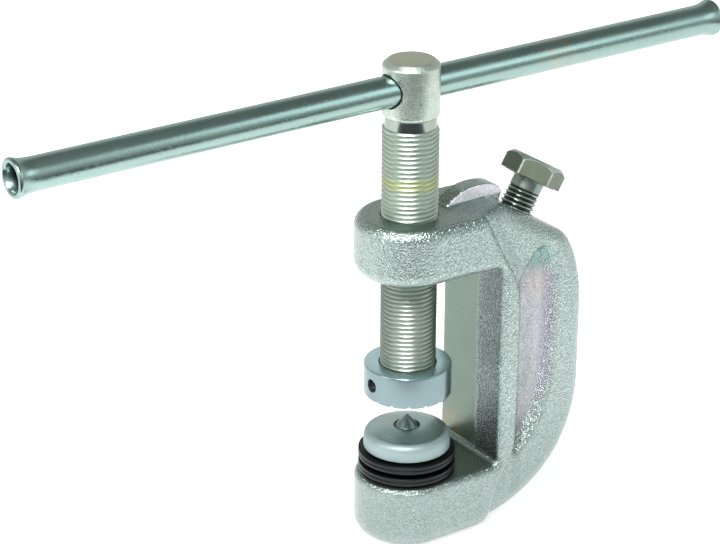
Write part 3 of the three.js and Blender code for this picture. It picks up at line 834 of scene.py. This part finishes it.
class SEPARATOR_OT_forging(bpy.types.Operator):
    """Forge the C-frame, join its lug and cut its three bores"""

    bl_idname = "separator.forging"
    bl_label = "Forging"

    def execute(self, context):
        piece = make_piece("forging", forging_surface(), crease=40)
        join_or_cut(piece, make_piece("lug", [lug_surface()]), "UNION", 40)
        bore, lead = SPINDLE_R + 0.16, 0.4
        eye = [(0, ARM_BOTTOM - 1), (bore + lead + 1, ARM_BOTTOM - 1), (bore, ARM_BOTTOM + lead),
               (bore, ARM_TOP - lead), (bore + lead + 1, ARM_TOP + 1), (0, ARM_TOP + 1)]
        join_or_cut(piece, rod_cutter("eye_cutter", eye), "DIFFERENCE", 40)

        socket, room, deep = 10.2, 11.6, 6.0
        ring_low, ring_high = RING_LOW[2] - 3.3, RING_HIGH[2] + CLEARANCE
        seat = [(0, deep), (socket, deep), (socket, ring_low), (room, ring_low), (room, ring_high),
                (socket, ring_high), (socket, JAW_TOP - 0.8), (socket + 1.8, JAW_TOP + 1), (0, JAW_TOP + 1)]
        join_or_cut(piece, rod_cutter("seat_cutter", seat), "DIFFERENCE", 40)

        hole, deep = BOLT_R + CLEARANCE, -25.2
        drilled = [(0, deep), (hole, deep), (hole, -0.7), (hole + 1.7, 1), (hole + 1.7, 12), (0, 12)]
        join_or_cut(piece, rod_cutter("bolt_cutter", drilled, on_bolt_axis), "DIFFERENCE", 40)
        settle(piece, "frame", "zinc_plated_forging", zinc_forging(context.scene.separator_forging), "frame")
        return {"FINISHED"}


# ---- spindle, its ball and the bar ---------------------------------------------------------------------
def spindle_surface(pitch, depth):
    """Nose, thread, neck and head in one grid: plain rows are circles, thread rows climb round the axis."""
    angle = np.linspace(0, TURN, 81)
    groove = NOSE_R - 1.5
    nose = rounded([(0, SPINDLE_LOW[2], 0), (NOSE_R, SPINDLE_LOW[2], 0.5), (NOSE_R, GRUB_Z - 1.5, 0),
                    (groove, GRUB_Z - 1.5, 0), (groove, GRUB_Z + 1.5, 0), (NOSE_R, GRUB_Z + 1.5, 0),
                    (NOSE_R, THREAD_FROM, 0), (SPINDLE_R - depth, THREAD_FROM, 0)])
    thread_r, thread_z = thread(SPINDLE_R, depth, pitch, THREAD_FROM, THREAD_TO, angle)
    head = rounded([(NECK_R, THREAD_TO + 0.02, 0), (NECK_R, HEAD_FROM, 0.3), (SPINDLE_R, HEAD_FROM, 1.3),
                    (SPINDLE_R, SPINDLE_TOP - 2.1, 0.5), (9.7, SPINDLE_TOP, 0.4), (0, SPINDLE_TOP, 0)])
    rows = [from_polar(nose[:, :1], angle, nose[:, 1:]), from_polar(thread_r, angle, thread_z),
            from_polar(head[:, :1], angle, head[:, 1:])]
    return np.vstack(rows)


class SEPARATOR_OT_spindle(bpy.types.Operator):
    """Cut the spindle's thread and drill its head and its nose"""

    bl_idname = "separator.spindle"
    bl_label = "Spindle"

    def execute(self, context):
        look = context.scene.separator_screws
        pitch, depth = look.spindle_pitch / MM, look.spindle_depth / MM
        piece = make_piece("screw_spindle", [spindle_surface(pitch, depth)])
        hole = BAR_R + 0.65
        across = rod_cutter("cross_cutter", [(0, -20), (hole, -20), (hole, 20), (0, 20)],
                            lambda grid: along_x(grid, BAR_Z))
        join_or_cut(piece, across, "DIFFERENCE")
        ball_r = BALL_HIGH[0] + CLEARANCE
        pocket = rod_cutter("ball_cutter", [(0, PAD_FLOOR), (ball_r, PAD_FLOOR), (ball_r, 74.0), (0, 74.0)])
        join_or_cut(piece, pocket, "DIFFERENCE")
        band = (162.2, 165.4, look.passivated)
        material = threaded_steel("spindle_steel", look.plated, scaled(look.plated, 0.8), SPINDLE_R, depth,
                                  roughness=0.27, band=band, matte_above=HEAD_FROM)
        settle(piece, "spindle", "spindle_steel", material, "spindle")
        return {"FINISHED"}


class SEPARATOR_OT_thrust_ball(bpy.types.Operator):
    """Set the hardened ball between nose and pad"""

    bl_idname = "separator.thrust_ball"
    bl_label = "Thrust ball"

    def execute(self, context):
        radius = BALL_HIGH[0]
        centre = (BALL_LOW[2] + BALL_HIGH[2]) / 2
        tilt = np.linspace(-QUARTER, QUARTER, 25)
        meridian = np.column_stack([radius * np.cos(tilt), centre + radius * np.sin(tilt)])
        piece = make_piece("ball", [turned(meridian, 48)])
        material = oiled_steel("ball_steel", BALL_STEEL, 0.08, 1.0)
        settle(piece, "pressure_pad", "ball_steel", material, "thrust_ball")
        return {"FINISHED"}


class SEPARATOR_OT_tommy_bar(bpy.types.Operator):
    """Draw the tube and roll its ends open"""

    bl_idname = "separator.tommy_bar"
    bl_label = "Tommy bar"

    def execute(self, context):
        radius, bore, mouth, flare = BAR_R, 4.75, 5.9, 10.0
        half = (BAR_HIGH[0] - BAR_LOW[0]) / 2
        t = np.linspace(0, 1, 12)
        swell = bend((radius, half - flare), (radius, half - 0.5 * flare), (BAR_FLARE_R - 0.5, half - 2.6),
                     (BAR_FLARE_R - 0.15, half - 1.5))(t)
        lip = bend((BAR_FLARE_R - 0.15, half - 1.5), (BAR_FLARE_R + 0.12, half - 0.6),
                   (BAR_FLARE_R - 0.2, half), (BAR_FLARE_R - 1.0, half))(t)
        throat = bend((mouth + 0.5, half), (mouth - 0.1, half), (bore, half - 3.0), (bore, half - 9.0))(t)
        outside = np.vstack([swell, lip[1:], throat])
        outside[:, 0] = np.minimum(outside[:, 0], BAR_FLARE_R)
        mirrored = outside[::-1] * np.array([1, -1])
        section = np.vstack([mirrored, outside, mirrored[:1]])
        middle = np.array([(BAR_LOW[0] + BAR_HIGH[0]) / 2, 0, 0])
        piece = make_piece("sliding_bar", [along_x(turned(section), BAR_Z) + middle])
        settle(piece, "tommy_bar", "bright_zinc", bright_bar(context.scene.separator_turned), "tommy_bar")
        return {"FINISHED"}


# ---- pressure pad --------------------------------------------------------------------------------------
def pad_surface(groove_depth):
    """The pad's profile carried round the axis in sectors. Columns follow the radial grooves, so a column's
    angle is asin(offset / r) within a groove and even between grooves, and the underside is raised by a V of
    the distance from the groove's middle."""
    count, groove_half = 16, 1.1
    sector = TURN / count
    profile = rounded([
        (0, PAD_LOW[2] + 1.5, 0), (6, PAD_LOW[2] + 1.5, 0), (6, PAD_LOW[2], 0.4), (8.2, PAD_LOW[2], 0),
        (9.6, PAD_LOW[2], 0), (14, PAD_LOW[2], 0), (PAD_R, PAD_LOW[2], 0.6), (PAD_R, PAD_LOW[2] + 1.3, 0),
        (PAD_R, PAD_HIGH[2], 0.7), (SPINDLE_R + 0.4, PAD_HIGH[2], 0.2), (SPINDLE_R + 0.4, 75.8, 0.2),
        (NOSE_R + CLEARANCE, 75.8, 0), (NOSE_R + CLEARANCE, PAD_FLOOR, 0), (0, PAD_FLOOR, 0)], steps=4)
    radius, height = profile[:, :1], profile[:, 1:]
    offsets = groove_half * np.array([-1, -0.5, -0.12, 0.12, 0.5, 1])
    half_angle = np.arcsin(groove_half / np.maximum(radius, 6.0))
    in_groove = np.arcsin(offsets / np.maximum(radius, 6.0))
    land = mix(half_angle, sector - half_angle, np.linspace(0, 1, 6)[1:-1])
    columns = np.hstack([in_groove, land])
    depth = np.concatenate([groove_depth * (1 - np.abs(offsets) / groove_half), np.zeros(land.shape[1])])
    starts = (np.arange(count) + 0.5) * sector
    angle = np.hstack([columns + start for start in starts])
    angle = np.hstack([angle, angle[:, :1] + TURN])
    ceiling = np.tile(depth, count)
    ceiling = PAD_LOW[2] + np.append(ceiling, ceiling[0]) * ease(radius, 7.8, 9.6)
    under = (height < PAD_LOW[2] + 1.4) & (radius > 7)
    return from_polar(radius, angle, np.where(under, np.maximum(height, ceiling), height + 0 * ceiling))


class SEPARATOR_OT_pressure_pad(bpy.types.Operator):
    """Turn the pressure pad, groove its underside and drill it for its screw"""

    bl_idname = "separator.pressure_pad"
    bl_label = "Pressure pad"

    def execute(self, context):
        look = context.scene.separator_turned
        piece = make_piece("turned_pad", [pad_surface(look.groove_depth / MM)])
        hole = (GRUB_HIGH[2] - GRUB_LOW[2]) / 2 + 0.08
        drilled = [(0, -PAD_R - 1), (hole, -PAD_R - 1), (hole, -NOSE_R + 0.5), (0, -NOSE_R + 0.5)]
        cutter = rod_cutter("screw_cutter", drilled, lambda grid: along_x(grid, GRUB_Z), 64)
        join_or_cut(piece, cutter, "DIFFERENCE")
        # Painted light: the top face's tone is the pad steel made 2.3 times lighter than its wall.
        material = turned_steel("turned_pad_steel", look.pad_steel, look.tool_mark, 0.2,
                                face_from=PAD_HIGH[2] - 0.1, face_tone=scaled(look.pad_steel, 2.3),
                                face_marks=4.0)
        settle(piece, "pressure_pad", "turned_pad_steel", material, "pressure_pad")
        return {"FINISHED"}


class SEPARATOR_OT_pad_screw(bpy.types.Operator):
    """Turn the socket screw that holds the pad on the spindle"""

    bl_idname = "separator.pad_screw"
    bl_label = "Pad screw"

    def execute(self, context):
        radius = (GRUB_HIGH[2] - GRUB_LOW[2]) / 2
        start, end = GRUB_LOW[0], GRUB_HIGH[0]
        angle = np.linspace(0, TURN, 61)
        key = hexagon(angle, 3.0, 1.7, 0.0)
        plain = np.ones_like(angle)
        socket = [(0, start + 2.2), (key, start + 1.8), (key, start + 0.1), (key + 0.12, start)]
        body = rounded([(radius - 0.5, start, 0), (radius, start + 0.5, 0), (radius, end - 2.7, 0),
                        (radius - 0.8, end - 1.9, 0), (1.2, end - 1.9, 0.1), (1.2, end, 0.2), (0, end, 0)])
        rows = [from_polar(r * plain, angle, z) for r, z in (*socket, *body)]
        piece = make_piece("socket_screw", [along_x(np.stack(rows), GRUB_Z)])
        material = oiled_steel("black_screw_steel", SCREW_BLACK, 0.32, 0.7)
        settle(piece, "pressure_pad", "black_screw_steel", material, "pad_grub_screw")
        return {"FINISHED"}


# ---- anvil, point, disc springs and ring ---------------------------------------------------------------
class SEPARATOR_OT_anvil(bpy.types.Operator):
    """Turn the anvil with its rounded shoulder and crowned face"""

    bl_idname = "separator.anvil"
    bl_label = "Anvil"

    def execute(self, context):
        look = context.scene.separator_turned
        shank, groove_r, rim, rim_r = 9.9, 9.0, 47.5, 16.05
        groove_low, groove_high = RING_LOW[2] - CLEARANCE, RING_HIGH[2] + CLEARANCE
        point_hole, hole_floor, crown = POINT_R + 0.06, 41.7, ANVIL_HIGH[2]
        t = np.linspace(0, 1, 14)
        foot = rounded([(0, ANVIL_LOW[2], 0), (shank, ANVIL_LOW[2], 0.9), (shank, groove_low, 0),
                        (groove_r, groove_low, 0), (groove_r, groove_high, 0), (shank, groove_high, 0),
                        (shank, ANVIL_FLANGE, 0), (ANVIL_R, ANVIL_FLANGE, 0.4), (ANVIL_R, rim - 3.6, 0)])
        shoulder = bend((ANVIL_R, rim - 3.6), (ANVIL_R, rim - 1.4), (ANVIL_R - 0.9, rim - 0.5),
                        (rim_r + 0.25, rim))(t)
        face = bend((rim_r, rim + 0.05), (rim_r - 3.5, rim + 1.0), (point_hole + 3.5, crown - 0.25),
                    (point_hole, crown))(t)
        profile = np.vstack([foot, shoulder, face, [(point_hole, hole_floor), (0, hole_floor)]])
        piece = make_piece("turned_anvil", [turned(profile, 128)], crease=24)
        material = turned_steel("pale_anvil_steel", look.anvil_steel, look.tool_mark, 0.46, metallic=0.7,
                                face_from=rim + 0.1, face_tone=ANVIL_FACE, face_marks=8.0, joint_r=POINT_R)
        settle(piece, "anvil", "pale_anvil_steel", material, "anvil")
        return {"FINISHED"}


class SEPARATOR_OT_anvil_point(bpy.types.Operator):
    """Turn the hardened cone in the anvil's middle"""

    bl_idname = "separator.anvil_point"
    bl_label = "Anvil point"

    def execute(self, context):
        crown, tip = ANVIL_HIGH[2], POINT_HIGH[2]
        t = np.linspace(0, 1, 20)
        foot = rounded([(0, POINT_LOW[2], 0), (POINT_R, POINT_LOW[2], 0.4), (POINT_R, crown - 0.5, 0)])
        flank = bend((POINT_R, crown - 0.5), (POINT_R - 0.4, crown), (1.6, tip - 1.6), (0.35, tip - 0.25))(t)
        nose = bend((0.35, tip - 0.25), (0.2, tip - 0.08), (0.12, tip), (0, tip))(t)
        piece = make_piece("hard_cone", [turned(np.vstack([foot, flank[1:], nose[1:]]))], crease=50)
        material = turned_steel("hardened_point", POINT_STEEL, 0.25 * MM, 0.3)
        settle(piece, "anvil", "hardened_point", material, "anvil_centre_point")
        return {"FINISHED"}


class SEPARATOR_OT_disc_springs(bpy.types.Operator):
    """Press the four conical washers and stack them"""

    bl_idname = "separator.disc_springs"
    bl_label = "Disc springs"

    def execute(self, context):
        material = black_spring(context.scene.separator_turned)
        thick, inner_r = 1.62, 10.4
        for number in range(1, 5):
            node = f"disc_spring_{number}"
            low, high = measured(node)
            outer_r = high[0]
            dish = high[2] - low[2] - thick
            inner, outer = (low[2], low[2] + dish) if number % 2 else (low[2] + dish, low[2])
            section = rounded([(inner_r, inner, 0.3), (outer_r, outer, 0.42), (outer_r, outer + thick, 0.42),
                               (inner_r, inner + thick, 0.3)], closed=True)
            piece = make_piece(f"conical_washer_{number}", [turned(section, 128)])
            settle(piece, "frame", "black_spring_steel", material, node)
            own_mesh(piece)
        return {"FINISHED"}


class SEPARATOR_OT_snap_ring(bpy.types.Operator):
    """Bend the open ring that keeps the anvil's shank in its bore"""

    bl_idname = "separator.snap_ring"
    bl_label = "Snap ring"

    def execute(self, context):
        inner_r, outer_r, gap = 9.3, 11.1, 0.25
        low, high = RING_LOW[2], RING_HIGH[2]
        corners = [(inner_r, low, 0.2), (outer_r, low, 0.2), (outer_r, high, 0.2), (inner_r, high, 0.2)]
        radius, height = rounded(corners, closed=True).T
        angle = column(np.linspace(gap, TURN - gap, 90))
        ring = from_polar(radius, angle, height)
        caps = [from_polar(0 * radius + (inner_r + outer_r) / 2, end, 0 * height + (low + high) / 2)[None]
                for end in (angle[0], angle[-1])]
        piece = make_piece("retaining_ring", [np.concatenate([caps[0], ring, caps[1]])])
        material = oiled_steel("black_ring_steel", RING_BLACK, 0.35, 0.6)
        settle(piece, "anvil", "black_spring_steel", material, "anvil_snap_ring")
        return {"FINISHED"}


# ---- striking bolt -------------------------------------------------------------------------------------
def bolt_surface(pitch):
    """Shank, thread, neck and head as one grid round the bolt's axis. Head rows take the hexagon's polar
    radius, and the row where the top chamfer meets the flats is the height of a cone at that radius."""
    sector = np.radians([0, 0.7, 2.0, 5, 11, 17, 24, 30, 36, 43, 49, 55, 58, 59.3])
    corners = BOLT_CLOCKING + math.pi / 6 + np.arange(6) * math.pi / 3
    angle = (corners[:, None] + sector).ravel()
    angle = np.append(angle, angle[0] + TURN)
    thread_end = BOLT_EXPOSED - BOLT_NECK
    thread_r, thread_z = thread(BOLT_R - 0.2, 1.15, pitch, -BOLT_ENGAGED, thread_end, angle, start=angle[0])
    neck = rounded([(BOLT_ROOT_R, thread_end + 0.02, 0), (BOLT_ROOT_R, BOLT_EXPOSED, 0.7),
                    (11.2, BOLT_EXPOSED, 0), (11.3, BOLT_EXPOSED + 0.35, 0)])
    top, edge, ring_r = BOLT_EXPOSED + BOLT_HEAD, 0.14, HEAD_RING_R
    flat = hexagon(angle, BOLT_ACROSS, HEAD_CORNER_R, BOLT_CLOCKING)
    head = [(flat - 0.25, BOLT_EXPOSED + 0.35), (flat, BOLT_EXPOSED + 0.6),
            (flat, top - (flat - ring_r) * HEAD_SLOPE - 0.12),
            (flat - edge, top - (flat - edge - ring_r) * HEAD_SLOPE),
            (ring_r, top - 0.04), (ring_r - 0.3, top), (0, top)]
    rows = [from_polar(0, angle, -BOLT_ENGAGED)[None], from_polar(thread_r, angle, thread_z),
            from_polar(neck[:, :1], angle, neck[:, 1:])]
    rows += [from_polar(radius, angle, height)[None] for radius, height in head]
    return on_bolt_axis(np.vstack(rows))


def bolt_frame(finish):
    """Object coordinates turned into the bolt's own frame, with its axis as Z."""
    return finish.node("ShaderNodeMapping", {"vector_type": "TEXTURE"},
                       {"Vector": finish.place, "Location": (FACET_X * MM, 0, FACET_Z * MM),
                        "Rotation": (0, FACET_TILT, 0)})


def olive_bolt(look):
    """Oiled, faintly olive hexagon with worn edges and painted shade on two of its flats, over a dark thread
    with painted shade in its roots, and a bare neck.
    """
    finish = Finish("olive_bolt_steel")
    x, y, z = finish.axes(bolt_frame(finish))
    radius = finish.radius(x, y)
    cloud = finish.noise(4 * MM, 3, 0.6)
    speck = finish.noise(0.7 * MM, 2, 0.6)
    head = finish.rise(z, BOLT_EXPOSED - 0.6, BOLT_EXPOSED)
    neck = finish.rise(z, BOLT_EXPOSED - BOLT_NECK - 0.4, BOLT_EXPOSED - BOLT_NECK + 0.4) * (1 - head)
    # Painted shade: the thread's roots are near black against its lighter crests.
    shank = finish.tint(finish.rise(radius, 6.9, BOLT_R - 0.45), THREAD_ROOT_SHADE, THREAD_CREST)
    tone = finish.tint(neck, shank, BARE_NECK)

    hex_tone = finish.tint(cloud, scaled(look.olive, 0.75), scaled(look.olive, 1.25))
    # Painted shade: two of the hexagon's flats are made darker than the others.
    for facing, share in ((BOLT_CLOCKING + math.pi, 0.7), (BOLT_CLOCKING - math.pi / 3, 0.6)):
        flat = finish.rise(x * math.cos(facing) + y * math.sin(facing), 11.3, 11.8)
        hex_tone = finish.tint(flat * share, hex_tone, scaled(look.olive, 0.3))
    chamfer_height = BOLT_EXPOSED + BOLT_HEAD + HEAD_SLOPE * HEAD_RING_R
    chamfer = finish.rise(z + radius * HEAD_SLOPE, chamfer_height - 0.435, chamfer_height - 0.115)
    corner = finish.rise(radius, HEAD_CORNER_R - 0.33, HEAD_CORNER_R - 0.06)
    scuffed = finish.rise(finish.noise(1.2 * MM, 3, 0.7), 0.3, 0.6) * 0.5 + 0.5
    worn = (chamfer + corner * (1 - chamfer)) * scuffed
    tone = finish.tint(head, tone, finish.tint(worn * 0.8, hex_tone, WORN_EDGE))
    normal = finish.bump(speck * 0.5 + cloud * 0.5, 0.03 * MM)
    return finish.paint(tone, 0.16 + head * 0.16 + neck * 0.14 + speck * 0.1, 0.95, normal)


class SEPARATOR_OT_striking_bolt(bpy.types.Operator):
    """Cut the bolt's thread and shape its hexagon"""

    bl_idname = "separator.striking_bolt"
    bl_label = "Striking bolt"

    def execute(self, context):
        look = context.scene.separator_screws
        piece = make_piece("hex_bolt", [bolt_surface(look.bolt_pitch / MM)], crease=24)
        settle(piece, "striking_bolt", "olive_bolt_steel", olive_bolt(look), "striking_bolt")
        return {"FINISHED"}


# ---- stage ---------------------------------------------------------------------------------------------
LOOK_AT = (-0.00096, 0.03457, 0.10868)
VIEW_DISTANCE = 1.08
VIEW_AZIMUTH, VIEW_FALL, VIEW_ROLL = (math.radians(a) for a in (55.22, 23.81, 0.2645))
LENS, SENSOR = 124.95, 36.0
TENT_TONES = [                              # from straight down to straight up
    (0.0, (0.03, 0.04, 0.06)), (0.40, (0.03, 0.04, 0.07)), (0.45, (0.34, 0.38, 0.36)),
    (0.70, (0.90, 0.93, 0.90)), (0.86, (0.16, 0.18, 0.17)), (1.0, (0.15, 0.16, 0.16))]


def add_camera():
    """A camera that looks down at the object from its left front."""
    data = bpy.data.cameras.new("view")
    data.lens, data.sensor_width, data.clip_end = LENS, SENSOR, 20.0
    camera = bpy.data.objects.new("view", data)
    bpy.context.scene.collection.objects.link(camera)
    level = math.cos(VIEW_FALL)
    forward = Vector((level * math.cos(VIEW_AZIMUTH), level * math.sin(VIEW_AZIMUTH), -math.sin(VIEW_FALL)))
    turn = forward.to_track_quat("-Z", "Y") @ Quaternion((0, 0, 1), VIEW_ROLL)
    place = Vector(LOOK_AT) - VIEW_DISTANCE * forward
    camera.matrix_world = Matrix.Translation(place) @ turn.to_matrix().to_4x4()
    bpy.context.scene.camera = camera


def add_softbox(name, place, target, width, height, power, tone=WHITE):
    """A rectangular light at place that faces target."""
    data = bpy.data.lights.new(name, "AREA")
    data.shape, data.size, data.size_y = "RECTANGLE", width, height
    data.energy, data.color = power, tone
    lamp = bpy.data.objects.new(name, data)
    bpy.context.scene.collection.objects.link(lamp)
    lamp.location = place
    lamp.rotation_euler = (Vector(target) - Vector(place)).to_track_quat("-Z", "Y").to_euler()


def add_floor():
    """A pale floor that reaches far behind the object and ends in front of it, as a table does."""
    front, behind, half, below = -0.245, 3.2, 2.4, 0.0004
    ahead = np.array([math.cos(VIEW_AZIMUTH), math.sin(VIEW_AZIMUTH)])
    aside = np.array([ahead[1], -ahead[0]])
    run, side = np.meshgrid(np.array([front, behind]), np.array([-half, half]), indexing="ij")
    flat = run[..., None] * ahead + side[..., None] * aside
    floor = make_piece("floor", [np.dstack([flat, 0 * run - below]) / MM])
    finish = Finish("pale_floor")
    tone = finish.tint(finish.noise(0.4, 2), scaled(WHITE, 0.86), scaled(WHITE, 0.88))
    glow = {"Emission Color": (*WHITE, 1.0), "Emission Strength": 0.62}
    floor.data.materials.append(finish.paint(tone, 0.9, 0.0, **glow))


def add_surroundings():
    """A pale tent: white where the camera looks past the floor, and for light and reflections a wall that
    brightens towards its top and is dark under the table's edge."""
    world = bpy.data.worlds.new("tent")
    bpy.context.scene.world = world
    world.use_nodes = True
    nodes = NodeTree(world.node_tree)
    direction = nodes.node("ShaderNodeTexCoord", output="Generated")
    height = nodes.node("ShaderNodeSeparateXYZ", values={0: direction}, output="Z")
    share = nodes.node("ShaderNodeMapRange", values={"Value": height, "From Min": -1.0})
    wall = nodes.node("ShaderNodeValToRGB", {"stops": TENT_TONES}, {0: share})
    seen = nodes.node("ShaderNodeLightPath", output="Is Camera Ray")
    tone = nodes.node("ShaderNodeMix", {"data_type": "RGBA"}, {0: seen, 6: wall, 7: (*WHITE, 1.0)}, output=2)
    background = world.node_tree.nodes["Background"]
    nodes.feed(background.inputs["Color"], tone)
    nodes.feed(background.inputs["Strength"], 1.0)


class SEPARATOR_OT_stage(bpy.types.Operator):
    """Set the floor, the lights and the camera"""

    bl_idname = "separator.stage"
    bl_label = "Stage"

    def execute(self, context):
        add_camera()
        add_floor()
        add_surroundings()
        middle = (0.0, 0.0, 0.1)
        add_softbox("overhead", (-0.46, -0.40, 0.95), middle, 0.30, 0.30, 15)
        add_softbox("right", (0.58, -0.72, 0.66), middle, 0.3, 0.5, 0.95, (0.78, 0.93, 1.0))
        add_softbox("left", (-1.1, 0.1, 0.6), middle, 0.35, 0.8, 4.2)
        context.scene.view_settings.view_transform = "Standard"
        return {"FINISHED"}


# ---- panel and registration ----------------------------------------------------------------------------
OPERATORS = (
    SEPARATOR_OT_stage, SEPARATOR_OT_forging, SEPARATOR_OT_spindle, SEPARATOR_OT_thrust_ball,
    SEPARATOR_OT_tommy_bar, SEPARATOR_OT_pressure_pad, SEPARATOR_OT_pad_screw, SEPARATOR_OT_anvil,
    SEPARATOR_OT_anvil_point, SEPARATOR_OT_disc_springs, SEPARATOR_OT_snap_ring, SEPARATOR_OT_striking_bolt,
)
LOOKS = {"separator_forging": SeparatorForging, "separator_screws": SeparatorScrews,
         "separator_turned": SeparatorTurned}


class SEPARATOR_PT_pieces(bpy.types.Panel):
    """The separator's pieces and their sizes and colours"""

    bl_idname = "SEPARATOR_PT_pieces"
    bl_label = "Ball joint separator"
    bl_space_type = "VIEW_3D"
    bl_region_type = "UI"
    bl_category = "Separator"

    def draw(self, context):
        for name, group in LOOKS.items():
            box = self.layout.box()
            for key in group.__annotations__:
                box.prop(getattr(context.scene, name), key)
        for operator in OPERATORS:
            self.layout.operator(operator.bl_idname)


def register():
    """Registers the settings, the operators and the panel."""
    for group in LOOKS.values():
        bpy.utils.register_class(group)
    for name, group in LOOKS.items():
        setattr(bpy.types.Scene, name, PointerProperty(type=group))
    for operator in OPERATORS:
        bpy.utils.register_class(operator)
    bpy.utils.register_class(SEPARATOR_PT_pieces)


def unregister():
    """Takes back what register() added."""
    bpy.utils.unregister_class(SEPARATOR_PT_pieces)
    for operator in reversed(OPERATORS):
        bpy.utils.unregister_class(operator)
    for name in LOOKS:
        delattr(bpy.types.Scene, name)
    for group in LOOKS.values():
        bpy.utils.unregister_class(group)


def main():
    """Builds everything in order."""
    register()
    for operator in OPERATORS:
        group, name = operator.bl_idname.split(".")
        getattr(getattr(bpy.ops, group), name)()


if __name__ == "__main__":
    main()
